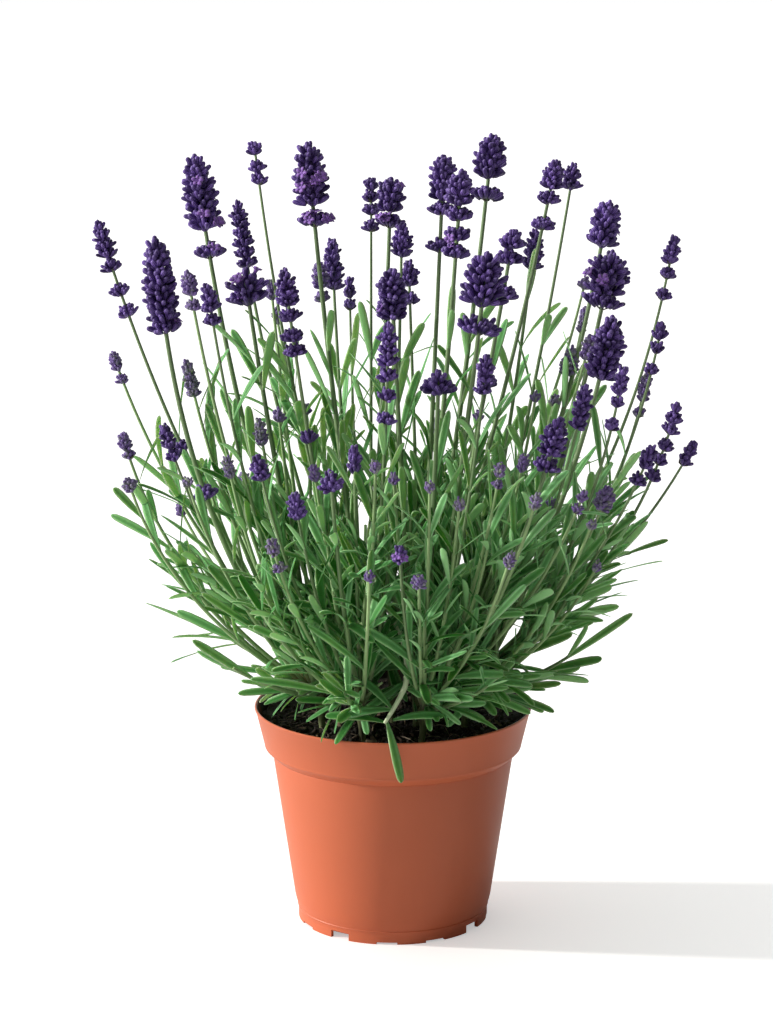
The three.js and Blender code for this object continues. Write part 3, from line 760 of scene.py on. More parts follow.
@functools.cache
def bud_finish():
    """Ripe calyx: dark violet with a downy bloom, paler and greener at its foot."""
    colour = tuple(bpy.context.scene.lavender_flower.bud_colour)
    finish = Finish("bud_violet", 0.48, sheen=0.03, specular=0.35)
    tone = finish.mix(finish.tone(), shaded(colour, 0.40), (0.235, 0.135, 0.50))
    ribs = finish.math("SINE", finish.times(finish.along("X"), 16 * math.pi))
    ribbed = finish.mix(finish.between(ribs, 0.2, 1.0), tone, shaded(colour, 0.5))
    foot = finish.between(finish.along("Y"), 0.42, 0.05)
    footed = finish.mix(finish.times(foot, 0.75), ribbed, (0.13, 0.11, 0.13))
    tip = finish.between(finish.along("Y"), 0.72, 1.0)
    finish.colour(finish.mix(finish.times(tip, 0.5), footed, (0.28, 0.20, 0.50)))
    finish.bump(finish.noise(2200, 3), 0.00012)
    return finish.material


@functools.cache
def young_finish():
    """Closed calyx: grey-green that turns violet with its tone."""
    finish = Finish("young_bud", 0.6, sheen=0.1, specular=0.35)
    tone = finish.mix(finish.tone(), (0.30, 0.37, 0.21), (0.20, 0.115, 0.39))
    tip = finish.between(finish.along("Y"), 0.35, 1.0)
    tipped = finish.mix(finish.times(tip, 0.65), tone, (0.22, 0.14, 0.40))
    down = finish.times(finish.noise(1500, 3), 0.2)
    finish.colour(finish.mix(down, tipped, (0.11, 0.11, 0.09)))
    finish.bump(finish.noise(2200, 3), 0.00012)
    return finish.material


@functools.cache
def petal_finish():
    colour = tuple(bpy.context.scene.lavender_flower.petal_colour)
    finish = Finish("petal_violet", 0.55, sheen=0.3, specular=0.35)
    vein = finish.noise(1300, 3)
    finish.colour(finish.mix(finish.times(vein, 0.8), colour, shaded(colour, 0.5)))
    finish.bump(vein, 0.00015)
    return finish.material


@functools.cache
def bract_finish():
    finish = Finish("bract_brown", 0.75, sheen=0.2, specular=0.3)
    veins = finish.noise(1100, 3, (1, 1, 0.3))
    finish.colour(finish.mix(veins, (0.085, 0.080, 0.040), (0.150, 0.120, 0.105)))
    finish.bump(veins, 0.0002)
    return finish.material


@functools.cache
def floor_finish():
    finish = Finish("pale_floor", 0.9, specular=0.2)
    finish.colour(finish.mix(finish.noise(3, 2), (0.90, 0.895, 0.88), (0.92, 0.915, 0.90)))
    finish.shader.inputs["Emission Color"].default_value = (1, 1, 1, 1)
    seen = finish.tree.nodes.new("ShaderNodeLightPath").outputs["Is Camera Ray"]
    finish.feed(finish.shader.inputs["Emission Strength"], finish.times(seen, 0.45))
    return finish.material


# ------------------------------------------------------------------ pot and soil


def inner_collar_radius(height, rim_radius, z):
    share = (z - POT.collar_foot) / (height - POT.collar_foot)
    return POT.collar_radius + share * (rim_radius - POT.collar_radius) - POT.wall


def pot_profile(rim, top):
    """Radius and height of the pot's wall, from the middle of its base round the lip."""
    foot, ring, ridge = POT.foot_radius, POT.foot_radius - POT.foot_ring, POT.ridge
    low, high, level = POT.wall_foot_radius, POT.wall_top_radius, POT.wall_top
    collar, edge, wall = POT.collar_radius, POT.collar_foot, POT.wall
    return [
        # base panel and foot ring
        (0, POT.panel_foot),
        (ring - 1, POT.panel_foot),
        (ring, POT.panel_foot),
        (foot, NOTCH.deep),
        # fine ridge round the foot
        (foot, ridge - 2.0),
        (foot + 0.30, ridge - 0.6),
        (foot + 0.52, ridge - 0.2),
        (foot + 0.30, ridge + 0.12),
        (foot + 0.48, ridge + 0.9),
        # tapered wall
        (low - 0.30, ridge + 2.6),
        (low + 0.25, ridge + 5.0),
        (high - 0.05, level - 0.8),
        (high - 0.15, level - 0.35),
        # slope and collar
        (high + 0.1, level),
        (high + 0.9, level + 0.65),
        (collar - 0.8, edge - 0.95),
        (collar - 0.12, edge - 0.2),
        (collar + 0.06, edge + 0.3),
        (collar, edge + 0.6),
        (collar + 0.16, edge + 1.1),
        # lip
        (rim - 0.62, top - 1.75),
        (rim - 0.15, top - 1.15),
        (rim, top - 0.65),
        (rim - 0.12, top - 0.2),
        (rim - 0.45, top),
        (rim - 0.9, top - 0.1),
        (rim - 1.25, top - 0.5),
        (rim - 1.55, top - 1.6),
        # inside
        (collar - wall - 0.1, edge),
        (high - wall, level + 0.9),
        (low + 0.25 - wall, ridge + 5.0),
        (foot - wall, POT.panel_top + 2),
        (foot - wall - 0.9, POT.panel_top),
        (0, POT.panel_top),
    ]


def notch_depth(place):
    """Depth of the foot ring's notch at a place round the pot, or nothing."""
    step = 360 / NOTCH.count
    turn = (math.degrees(math.atan2(place.y, place.x)) + 90 - NOTCH.first) / step
    index = round(turn)
    if abs(turn - index) * step > NOTCH.half:
        return 0
    return NOTCH.deep if index % NOTCH.deep_every == 0 else NOTCH.shallow


def press_foot_ring(bm):
    """Draws the foot ring down between its notches, in two steps."""
    middle = (POT.panel_foot + NOTCH.deep) / 2
    ring = []
    for face in bm.faces:
        centre = face.calc_center_median()
        if abs(centre.z - middle) < 0.1 and centre.xy.length > POT.foot_radius - POT.foot_ring:
            ring.append(face)
    for level in (NOTCH.shallow, 0):
        ring = [face for face in ring if notch_depth(face.calc_center_median()) <= level]
        grown = bmesh.ops.extrude_face_region(bm, geom=ring)["geom"]
        for vert in grown:
            if isinstance(vert, bmesh.types.BMVert):
                vert.co.z = level
        bmesh.ops.delete(bm, geom=ring, context="FACES")
        ring = [face for face in grown if isinstance(face, bmesh.types.BMFace)]


def cut_drain_holes(piece):
    """Cuts the hidden drainage holes through the base panel."""
    bm = new_bmesh()
    places = [(0, 0)]
    for i in range(DRAIN.count):
        angle = i * 2 * math.pi / DRAIN.count
        places.append((DRAIN.ring * math.cos(angle), DRAIN.ring * math.sin(angle)))
    for x, y in places:
        bmesh.ops.create_cone(
            bm,
            cap_ends=True,
            segments=DRAIN.sides,
            radius1=DRAIN.radius,
            radius2=DRAIN.radius,
            depth=2 * POT.panel_top,
            matrix=Matrix.Translation((x, y, (POT.panel_foot + POT.panel_top) / 2)),
        )
    bmesh.ops.scale(bm, vec=(MM, MM, MM), verts=bm.verts)
    cutter = placed("drain_cutter", mesh_from(bm, "drain_cutter"))
    cut = piece.modifiers.new("drain_holes", "BOOLEAN")
    cut.object = cutter
    cut.operation = "DIFFERENCE"
    cut.solver = "EXACT"
    view = bpy.context.evaluated_depsgraph_get()
    piece.data = bpy.data.meshes.new_from_object(piece.evaluated_get(view))
    piece.modifiers.clear()
    bpy.data.objects.remove(cutter)


def stain_and_shade_inside(bm, top):
    """Marks the inner wall for the dark brown of peat stain and painted shade, from just below the
    lip.
    """
    tone = bm.faces.layers.float["tone"]
    bm.normal_update()
    for face in bm.faces:
        centre = face.calc_center_median()
        if 5 < centre.z < top - 1 and face.normal.xy.dot(centre.xy) < 0:
            face[tone] = 1


class LAVENDER_OT_pot(bpy.types.Operator):
    """Turn the nursery pot, with its stepped collar, lip, foot ring and notches"""

    bl_idname = "lavender.pot"
    bl_label = "Nursery pot"

    def execute(self, context):
        settings = context.scene.lavender_pot
        bm = new_bmesh()
        profile = pot_profile(in_mm(settings.rim_radius), in_mm(settings.height))
        turned(bm, profile, settings.facets)
        press_foot_ring(bm)
        finish_faces(bm, bm.faces, 0, 0)
        stain_and_shade_inside(bm, in_mm(settings.height))
        sharpen(bm, 35)
        piece = add_piece("nursery_pot", bm, [plastic_finish()], ["pot"])
        cut_drain_holes(piece)
        return {"FINISHED"}


# Clods from coarse to fine: features per millimetre, where the noise is read, and share.
CLODS = ((0.075, 3.0, 0.9), (0.23, 7.0, 0.6), (0.8, 11.0, 0.28))
# The soil is banked up at the wall: from this radius, over this width, to this height.
BANK = SimpleNamespace(start=50, width=10, height=4.0)
SOIL_RINGS = 56
SOIL_FACETS = 180


def soil_height(x, y, clod):
    """Height of the soil's surface: clods over fine crumbs, banked up at the wall."""
    relief = sum(share * noise.noise(Vector((x * fine, y * fine, z))) for fine, z, share in CLODS)
    bank = BANK.height * min(max((math.hypot(x, y) - BANK.start) / BANK.width, 0), 1)
    return SOIL_TOP + bank + clod * relief


class LAVENDER_OT_soil(bpy.types.Operator):
    """Fill the pot with peat and give its surface clods"""

    bl_idname = "lavender.soil"
    bl_label = "Potting soil"

    def execute(self, context):
        pot = context.scene.lavender_pot
        rim, top = in_mm(pot.rim_radius), in_mm(pot.height)
        edge = inner_collar_radius(top, rim, SOIL_TOP) - 0.5
        foot = POT.panel_top + SOIL_GAP
        profile = [
            (0, foot),
            (POT.foot_radius - POT.wall - 1.2, foot),
            (POT.wall_top_radius - POT.wall - 0.5, POT.wall_top + 0.4),
            (POT.collar_radius - POT.wall - 0.8, POT.collar_foot),
        ]
        profile += [(edge * (1 - i / SOIL_RINGS), SOIL_TOP) for i in range(SOIL_RINGS + 1)]
        bm = new_bmesh()
        turned(bm, profile, SOIL_FACETS)
        clod = in_mm(context.scene.lavender_soil.clod_height)
        for vert in bm.verts:
            if vert.co.z > SOIL_TOP - 0.1:
                vert.co.z = soil_height(vert.co.x, vert.co.y, clod)
        add_piece("potting_soil", bm, [peat_finish()], ["soil"])
        return {"FINISHED"}


LITTER_EDGE = 57


def soil_spot(draw, edge, clod):
    """A place on the soil's surface."""
    radius = edge * math.sqrt(draw.random())
    angle = draw.uniform(0, 2 * math.pi)
    x, y = radius * math.cos(angle), radius * math.sin(angle)
    return Vector((x, y, soil_height(x, y, clod)))


class LAVENDER_OT_litter(bpy.types.Operator):
    """Strew crumbs, wood chips and thin roots on the soil"""

    bl_idname = "lavender.litter"
    bl_label = "Crumbs, chips and roots"

    def execute(self, context):
        settings = context.scene.lavender_soil
        clod = in_mm(settings.clod_height)
        draw = random.Random(3)
        bm = new_bmesh()
        bmesh.ops.create_icosphere(bm, subdivisions=1, radius=1)
        for vert in bm.verts:
            vert.co *= draw.uniform(0.7, 1.15)
        finish_faces(bm, bm.faces, 0, 0)
        crumb = mesh_from(bm, "stamp")
        bm = new_bmesh()
        for _ in range(settings.crumbs):
            size = draw.uniform(0.5, 1.0) ** 2 * 2.1
            spin = draw.uniform(0, 2 * math.pi)
            scale = (size, size * draw.uniform(0.6, 1), size * draw.uniform(0.5, 0.9))
            place = soil_spot(draw, LITTER_EDGE, clod)
            way = Vector((draw.gauss(0, 1), draw.gauss(0, 1), draw.gauss(0, 1)))
            tone = 0.95 if draw.random() < 0.02 else draw.uniform(0, 0.35)
            stamp(bm, crumb, aimed(place, way.normalized(), spin, scale), tone)
        finish = litter_finish("crumb_brown", (0.012, 0.009, 0.006), (0.13, 0.095, 0.06))
        add_piece("soil_crumbs", bm, [finish])
        self.add_chips(settings, clod, draw)
        self.add_roots(settings, clod, draw)
        return {"FINISHED"}

    def add_chips(self, settings, clod, draw):
        bm = new_bmesh()
        bmesh.ops.create_cube(bm, size=1)
        bmesh.ops.bevel(
            bm, geom=bm.edges, offset=0.12, segments=1, profile=0.5, affect="EDGES", material=-1
        )
        for vert in bm.verts:
            vert.co.x *= 1 - 0.35 * abs(vert.co.z)
        finish_faces(bm, bm.faces, 0, 0)
        chip = mesh_from(bm, "stamp")
        bm = new_bmesh()
        for _ in range(settings.chips):
            length = draw.uniform(3, 8)
            scale = (draw.uniform(1.2, 2.6), draw.uniform(0.5, 1.1), length)
            way = Vector((draw.gauss(0, 1), draw.gauss(0, 1), draw.gauss(0, 0.3))).normalized()
            place = soil_spot(draw, LITTER_EDGE - 3, clod) + UP * 0.4
            stamp(bm, chip, aimed(place, way, draw.uniform(0, 3), scale), draw.random() ** 2)
        finish = litter_finish("chip_brown", (0.035, 0.022, 0.013), (0.29, 0.21, 0.13))
        add_piece("soil_chips", bm, [finish])

    def add_roots(self, settings, clod, draw):
        bm = new_bmesh()
        for _ in range(settings.roots):
            start = soil_spot(draw, LITTER_EDGE - 1, clod) - UP * 0.5
            end = start + Vector((draw.gauss(0, 5), draw.gauss(0, 5), 0))
            if end.xy.length > LITTER_EDGE:
                end = start * 0.85
            end.z = soil_height(end.x, end.y, clod) + draw.uniform(-0.3, 2.4)
            arch = Vector((draw.gauss(0, 2), draw.gauss(0, 2), draw.uniform(1, 3)))
            curve = Bend(start, start.lerp(end, 0.5) + arch, end)
            radius = draw.uniform(0.12, 0.26)
            stations = []
            for share in (0, 0.02, 0.25, 0.5, 0.75, 0.98, 1):
                side, back = across(curve.along(share))
                width = radius if 0 < share < 1 else 0
                stations.append((curve.at(share), side, back, width, width))
            skin(bm, stations, circle(4), tone=draw.random())
        finish = litter_finish("root_tan", (0.10, 0.07, 0.045), (0.42, 0.34, 0.25))
        add_piece("soil_roots", bm, [finish])


# ------------------------------------------------------------------ stalks and wood


def stem_stations(curve, first, last, steps, foot_radius, tip_radius):
    """Stations of a stem that narrows from its foot to its tip."""
    stations = []
    for i in range(steps + 1):
        share = first + (last - first) * i / steps
        side, back = across(curve.along(share))
        radius = foot_radius + (tip_radius - foot_radius) * i / steps
        stations.append((curve.at(share), side, back, radius, radius))
    return stations


def with_ends(stations):
    """The stations with one of no width added at each end, which closes the stem."""
    return [(*stations[0][:3], 0, 0), *stations, (*stations[-1][:3], 0, 0)]


# Share of a woody base's height, and its swell there.
WOOD_SHAPE = (
    (0.0, 0.0), (0.02, 1.0), (0.3, 0.95), (0.55, 0.9), (0.7, 1.1), (0.8, 1.45), (0.88, 1.6),
    (0.95, 1.15), (0.99, 0.6), (1.0, 0.0),
)


def wood_stations(shoot, draw):
    """Woody base from inside the soil up to the knot."""
    top = shoot.knot + UP * (WOOD.knot * 0.7)
    stations = []
    for share, swell in WOOD_SHAPE:
        centre = shoot.root.lerp(top, share) + Vector((draw.gauss(0, 0.3), draw.gauss(0, 0.3), 0))
        side, back = across(UP)
        radius = WOOD.radius * 0.48 * swell
        stations.append((centre, side, back, radius, radius * draw.uniform(0.85, 1.05)))
    return stations


SQUARE = circle(8, 0.80)
# By kind of stalk: how slim it is, how pale, the height where its leaves end, and the distance
# between its pairs of leaves.
KINDS = {
    "spike": SimpleNamespace(slim=0.95, tone=0.12, leafy=262, step=21),
    "young": SimpleNamespace(slim=0.76, tone=0.85, leafy=246, step=19),
    "sprig": SimpleNamespace(slim=0.95, tone=0.6, leafy=400, step=12),
}


class LAVENDER_OT_stalks(bpy.types.Operator):
    """Grow the woody bases and the square stalks"""

    bl_idname = "lavender.stalks"
    bl_label = "Woody bases and stalks"

    def execute(self, context):
        radius = in_mm(context.scene.lavender_green.stalk_radius)
        draw = random.Random(5)
        for shoot in plant():
            bm = new_bmesh()
            skin(bm, wood_stations(shoot, draw), circle(12), material=1)
            for stalk in shoot.stalks:
                curve = stalk.curve
                slim = KINDS[stalk.kind].slim
                if stalk.kind == "spike":
                    slim *= min(max(stalk.width / 12, 0.72), 1.1)
                tone = KINDS[stalk.kind].tone + draw.uniform(-0.1, 0.15)
                steps = max(8, round(curve.length / 7))
                foot, tip = radius * slim * 1.15, radius * slim * 0.62
                stations = stem_stations(curve, 0, 0.995, steps, foot, tip)
                skin(bm, with_ends(stations), SQUARE, 0, tone)
            materials = [stalk_finish(), bark_finish()]
            name = f"shoot_{shoot.number:02d}"
            add_piece(f"{name}_stalks", bm, materials, [name])
        return {"FINISHED"}


# ------------------------------------------------------------------ leaves

# Share of the leaf's length, and the width there as a share of its full width.
LEAF_SHAPE = (
    (0, 0.30), (0.06, 0.38), (0.20, 0.62), (0.40, 0.88), (0.60, 1.0), (0.79, 0.98), (0.91, 0.82),
    (0.97, 0.52), (1.0, 0.0),
)
# Cross-section of a channelled leaf from its right edge over the upper side.
LEAF_OUTLINE = (
    (1.0, 0.75), (0.52, 0.62), (0.0, 0.0), (-0.52, 0.62), (-1.0, 0.75), (-0.56, -0.02),
    (0.0, -0.80), (0.56, -0.02),
)
# How far leaves reach from the axis, by height.
BOWL = (
    (90, 62), (107, 75), (125, 97), (145, 113), (160, 121), (175, 128), (190, 133), (215, 130),
    (240, 120), (270, 105), (370, 90),
)
# How far they reach to the front and back.
DEPTH_REACH = 122
# A leaf's half thickness, and the width that it goes with.
LEAF_THICKNESS = (0.34, 4.5)
# The last pair of leaves on a twig: share of its length, and size.
TIP_NODE = (0.985, 0.45)
# Size of a cell in which leaves are looked up, how close two leaves may come before they count
# as crowded, how many such neighbours a leaf may have, and how often it is tried.
ROOM = SimpleNamespace(cell=5.0, clearance=2.6, most=2, tries=6)


def bowl_radius(z):
    for (low, inner), (high, outer) in zip(BOWL, BOWL[1:]):
        if z <= high:
            share = max((z - low) / (high - low), 0)
            return inner + (outer - inner) * share
    return BOWL[-1][1]


class LeafRoom:
    """Remembers where leaves are, so that new ones find free room."""

    def __init__(self):
        self.cells = {}

    def key(self, place):
        return tuple(int(math.floor(c / ROOM.cell)) for c in place)

    def crowding(self, places):
        """How many leaves stand too close to these places."""
        count = 0
        for place in places:
            x, y, z = self.key(place)
            for dx, dy, dz in itertools.product((-1, 0, 1), repeat=3):
                for other in self.cells.get((x + dx, y + dy, z + dz), ()):
                    count += (other - place).length < ROOM.clearance
        return count

    def take(self, places):
        for place in places:
            self.cells.setdefault(self.key(place), []).append(place)


# The rim as leaves see it: its height, its radius outside and inside, and how low leaves may hang
# in front of it.
RIM = SimpleNamespace(height=103, radius=65, inside=60, lowest=84)


def clear_of_pot(place, spare=2.0):
    """Above the soil inside the rim, and off the wall outside it."""
    out = place.xy.length
    if place.z > RIM.height + spare:
        return True
    if out > RIM.radius + spare:
        return place.z > RIM.lowest
    return out < RIM.inside - spare and place.z > SOIL_TOP + 2 + spare


# Where the sprig over the rim is seen: its depth, middle, half width, foot and top.
SPRIG_VIEW = SimpleNamespace(depth=-36, middle=1, half=15, foot=88, top=132)


def hides_sprig(place):
    """In front of the sprig that hangs over the rim."""
    seen = seen_from_front(place)
    near = abs(seen.x - SPRIG_VIEW.middle) < SPRIG_VIEW.half
    return place.y < SPRIG_VIEW.depth and near and SPRIG_VIEW.foot < seen.z < SPRIG_VIEW.top


# Gaps where the photo shows the background through the leaves: x and z seen from the front,
# half width and half height.
GAPS = (
    (-80, 181, 5, 12), (-91, 184, 3.5, 5), (-68, 176, 5, 8), (-83, 143, 4, 5), (-63, 130, 6, 6),
    (-44, 210, 5, 6), (-14, 190, 3.5, 7), (-41, 167, 4, 5), (30, 172, 4, 4), (43, 162, 4, 7),
    (51, 135, 5, 6), (70, 126, 6, 6), (-74, 121, 6, 6),
)


def in_gap(place):
    seen = seen_from_front(place)
    return any(abs(seen.x - x) < wide and abs(seen.z - z) < high for x, z, wide, high in GAPS)


def leaf_bend(root, stem, outward, length, lean, tip_lean, droop):
    """Midline of a leaf that leaves its stem at one lean and ends at another."""
    start_way = stem * math.cos(lean) + outward * math.sin(lean)
    end_way = stem * math.cos(tip_lean) + outward * math.sin(tip_lean)
    middle = root + start_way * (length * 0.5)
    end = middle + end_way * (length * 0.55)
    end.z -= droop * length * 0.3
    return Bend(root, middle, end)


def add_leaf(bm, curve, width, stem, twist, tone):
    """Channelled blade along a curve; its upper side faces up the stem."""
    stations = []
    thick, full_width = LEAF_THICKNESS
    for share, wide in LEAF_SHAPE:
        direction = curve.along(share)
        face = stem - direction * stem.dot(direction)
        if face.length < 0.05:
            face = UP - direction * UP.dot(direction)
        face.normalize()
        face.rotate(Matrix.Rotation(twist * share, 3, direction))
        half = width * wide / 2
        depth = thick * min(1, wide + 0.15) if wide > 0 else 0
        depth = depth * width / full_width
        stations.append((curve.at(share), face.cross(direction), face, half, depth))
    skin(bm, stations, LEAF_OUTLINE, 0, tone)


def try_leaf(room, root, stem, angle, length, draw, lean_range):
    """A leaf that has room, tried with several turns and leans."""
    best = None
    fade = draw.uniform(0.82, 1.03)
    for attempt in range(ROOM.tries):
        turn = angle + draw.uniform(-0.25, 0.25) * (1 + attempt * 0.5)
        outward = outward_at(stem, turn)
        lean = math.radians(draw.uniform(*lean_range))
        tip_lean = lean + math.radians(draw.uniform(-6, 28))
        reach = length * (1 - 0.07 * attempt)
        curve = leaf_bend(root, stem, outward, reach, lean, tip_lean, draw.uniform(-0.1, 0.6))
        places = [curve.at(share) for share in (0.4, 0.7, 1)]
        tip = places[-1]
        if tip.xy.length > bowl_radius(tip.z) * fade or not all(map(clear_of_pot, places)):
            continue
        if hides_sprig(tip) or any(in_gap(curve.at(i / 6)) for i in range(1, 7)):
            continue
        crowding = room.crowding(places)
        if best is None or crowding < best[0]:
            best = (crowding, curve, places)
        if crowding == 0:
            break
    if best is None or best[0] > ROOM.most:
        return None
    room.take(best[2])
    return best[1]


# Share of leaves left out; more are missing low down and far from the axis.
BARE = SimpleNamespace(share=0.10, low_share=0.20, low=138, far=58)


def clothe(bm, room, curve, nodes, length, width, draw, lean_range):
    """Opposite pairs of leaves up a stem; nodes are (share, size)."""
    turn = draw.uniform(0, math.pi)
    for share, size in nodes:
        root = curve.at(share)
        stem = curve.along(share)
        low = root.z < BARE.low and root.xy.length > BARE.far
        bare = BARE.low_share if low else BARE.share
        for half_turn in (0, math.pi):
            if draw.random() < bare:
                continue
            reach = length * size * draw.uniform(0.85, 1.15)
            bend = try_leaf(room, root, stem, turn + half_turn, reach, draw, lean_range)
            if bend is None:
                continue
            blade = width * draw.uniform(0.82, 1.12) * (0.55 + 0.45 * min(size, 1))
            tip = bend.at(1)
            outer = tip.xy.length / bowl_radius(tip.z)
            fresh = (outer - 0.75) * 0.8 + max(tip.x, 0) * 0.003
            tone = min(max(draw.gauss(0.46, 0.26) + fresh, 0), 1)
            twist = draw.uniform(-0.7, 0.7)
            if abs(tip.y) < DEPTH_REACH:
                add_leaf(bm, bend, blade, stem, twist, tone)
        turn += math.pi / 2 + draw.uniform(-0.2, 0.2)


def add_twig(bm, curve, radius, draw):
    stations = stem_stations(curve, 0, 0.99, max(6, round(curve.length / 8)), radius, radius * 0.5)
    skin(bm, with_ends(stations), SQUARE, 1, 0.75 + draw.uniform(-0.15, 0.2))


# Where side twigs end, by the ring that their shoot stands in: how far out and how far round.
TWIG_REACH = {0: (4, 34, math.pi), 15: (22, 76, 0.75), 33: (56, 100, 0.42)}
LOW_TWIGS = {0: (8, 22), 15: (20, 46), 33: (44, 62)}
# Heights between which they end: the lowest, the top of the low ones and the top of the others.
TWIG_HEIGHTS = (112, 134, 218)


def twig_curve(shoot, low, draw):
    """A leafy side twig inside the bowl of leaves; a low one stays near the soil."""
    ring = round(shoot.root.xy.length)
    inner, outer, spread = TWIG_REACH[ring]
    if low:
        inner, outer = LOW_TWIGS[ring]
    out = draw.uniform(inner, outer)
    least, low_top, top = TWIG_HEIGHTS
    height = draw.uniform(least, low_top) if low else draw.uniform(least + 0.60 * out, top)
    out = min(out, bowl_radius(height) - 20)
    angle = shoot.angle + draw.uniform(-spread, spread)
    tip = Vector((out * math.cos(angle), out * math.sin(angle), height))
    if low:
        return Bend(shoot.knot, shoot.knot.lerp(tip, 0.5) + UP * 3, tip)
    middle = shoot.knot.lerp(tip, 0.5)
    host = min(shoot.stalks, key=lambda stalk: (stalk.curve.at(0.35) - middle).length)
    start = host.curve.at(draw.uniform(0.05, 0.28))
    control = start.lerp(tip, 0.62)
    control.z = start.z + (tip.z - start.z) * 0.36
    return Bend(start, control, tip)


# Tips of the leaves that stand out furthest: x and z seen from the front, and depth.
OUTER_LEAVES = (
    (-131, 194, 5), (-113, 181, -20), (-116, 152, 10), (-104, 123, 0), (-73, 108, -12),
    (-94, 134, -34), (-108, 194, 30), (128, 182, 5), (126, 172, -25), (115, 163, 20),
    (112, 147, -8), (98, 125, 0), (71, 99, -10), (121, 214, -15), (92, 114, -40),
    (-34, 84, -64), (-27, 83, -66), (25, 92, -58), (-60, 268, 5), (-86, 245, 10),
    (12, 262, -30), (-33, 252, -25), (66, 258, 15), (96, 240, -5), (-41, 94, -42),
    (-46, 105, -44), (56, 99, -40), (76, 99, -8), (-30, 99, -52), (47, 106, -48), (-16, 98, -54),
    (-120, 222, -10), (-97, 225, -20), (-91, 220, -25), (-107, 217, -8), (-104, 206, 10),
    (-101, 233, 15), (107, 157, -20), (110, 181, -30), (112, 196, -25), (104, 190, -40),
    (118, 191, -10), (102, 160, -40), (106, 171, -10), (98, 167, -55), (100, 177, -50),
    (-84, 285, 0), (-75, 272, -20), (-68, 290, 10), (-95, 262, 5), (-55, 280, -10), (-38, 281, 10),
    (-28, 290, 0), (-20, 270, -20), (52, 286, 0), (48, 296, 30),
    (-101, 148, -10), (-92, 129, -12), (-81, 121, -8), (-106, 160, -5), (-98, 172, 5),
    (-90, 150, -25), (-96, 184, -30), (88, 121, -10), (79, 113, -15), (84, 137, -20),
    (94, 143, -30), (-78, 269, -10), (-70, 259, 5), (-83, 256, 10), (-74, 281, 20), (-62, 277, 0),
    (14, 284, 0), (20, 274, -15),
)


# A leaf's natural length and lean, and what a radian off that lean costs in millimetres.
NATURAL = SimpleNamespace(length=34, lean=0.62, cost=22)


def add_outer_leaf(stems, tip, width, draw):
    """A leaf out to a given tip, from the nearest stem that it can leave at a natural lean."""
    best = None
    for bm, curve in stems:
        for step in range(3, 19):
            root, stem = curve.at(step / 20), curve.along(step / 20)
            lean = stem.angle(tip - root)
            if root.z > tip.z - 8 and tip.z > 130:
                continue
            cost = abs((tip - root).length - NATURAL.length)
            cost += NATURAL.cost * abs(lean - NATURAL.lean)
            if best is None or cost < best[0]:
                best = (cost, bm, root, stem)
    _, bm, root, stem = best
    reach = (tip - root).length
    bend = Bend(root, root.lerp(tip, 0.45) + stem * (reach * 0.10), tip)
    blade, tone = width * draw.uniform(0.78, 1.02), draw.uniform(0.15, 0.6)
    twist = draw.uniform(0.3, 0.9) * draw.choice((-1, 1))
    add_leaf(bm, bend, blade, stem, twist, tone)


class LAVENDER_OT_leaves(bpy.types.Operator):
    """Clothe the stalks and side twigs in opposite pairs of narrow leaves"""

    bl_idname = "lavender.leaves"
    bl_label = "Leaves and twigs"

    def execute(self, context):
        settings = context.scene.lavender_green
        length, width = in_mm(settings.leaf_length), in_mm(settings.leaf_width)
        radius = in_mm(settings.stalk_radius)
        room = LeafRoom()
        draw = random.Random(11)
        stems = []
        for shoot in plant():
            bm = new_bmesh()
            stems += [(bm, stalk.curve) for stalk in shoot.stalks]
            for stalk in shoot.stalks:
                self.clothe_stalk(bm, room, stalk, length, width, draw)
            for number in range(settings.twigs + settings.low_twigs):
                low = number >= settings.twigs
                curve = twig_curve(shoot, low, draw)
                stems.append((bm, curve))
                add_twig(bm, curve, radius * draw.uniform(0.92, 1.12), draw)
                pairs = max(3, round(curve.length / 11))
                full = 0.8 if low else 1.0
                nodes = [(0.22 + 0.76 * i / pairs, full - 0.35 * i / pairs) for i in range(pairs)]
                nodes.append(TIP_NODE)
                leans = (28, 64) if low else (18, 44)
                clothe(bm, room, curve, nodes, length, width, draw, leans)
            shoot.leaves = bm
        for x, z, depth in OUTER_LEAVES:
            add_outer_leaf(stems, seen_at(x, z, depth), width, draw)
        for shoot in plant():
            materials = [leaf_finish(), stalk_finish()]
            add_piece(f"shoot_{shoot.number:02d}_leaves", shoot.leaves, materials)
        return {"FINISHED"}

    def clothe_stalk(self, bm, room, stalk, length, width, draw):
        kind, curve = KINDS[stalk.kind], stalk.curve
        reach = curve.length if stalk.kind == "sprig" else curve.length - stalk.foot() - 12
        nodes = []
        distance = draw.uniform(8, 16)
        while distance < reach:
            share = distance / curve.length
            if curve.at(share).z > kind.leafy + draw.uniform(-45, 45):
                break
            nodes.append((share, 1.05 - 0.4 * distance / reach))
            distance += kind.step * draw.uniform(0.8, 1.25)
        if stalk.kind == "sprig":
            nodes.append(TIP_NODE)
        clothe(bm, room, curve, nodes, length, width, draw, (14, 38))


# Leaves of the sprig that hangs over the rim: root and tip as x and z seen from the front and
# depth, then width and tone.
RIM_LEAVES = (
    ((-3, 94.5, -64), (4, 64, -72), 4.4, 0.45),
    ((0, 100, -58), (-22, 97, -62), 4.6, 0.55),
    ((-4, 94, -63), (-32, 97, -60), 4.8, 0.15),
    ((0, 95, -62), (24, 97, -60), 4.6, 0.4),
    ((-1, 101, -57), (-15, 115, -50), 4.3, 0.4),
    ((6, 110, -51), (13, 106, -60), 3.8, 0.95),
    ((6, 110, -51), (23, 114, -54), 4.2, 0.6),
    ((7, 118, -46), (15, 130, -44), 3.8, 0.9),
    ((7, 119, -46), (-8, 129, -45), 4.0, 0.6),
)


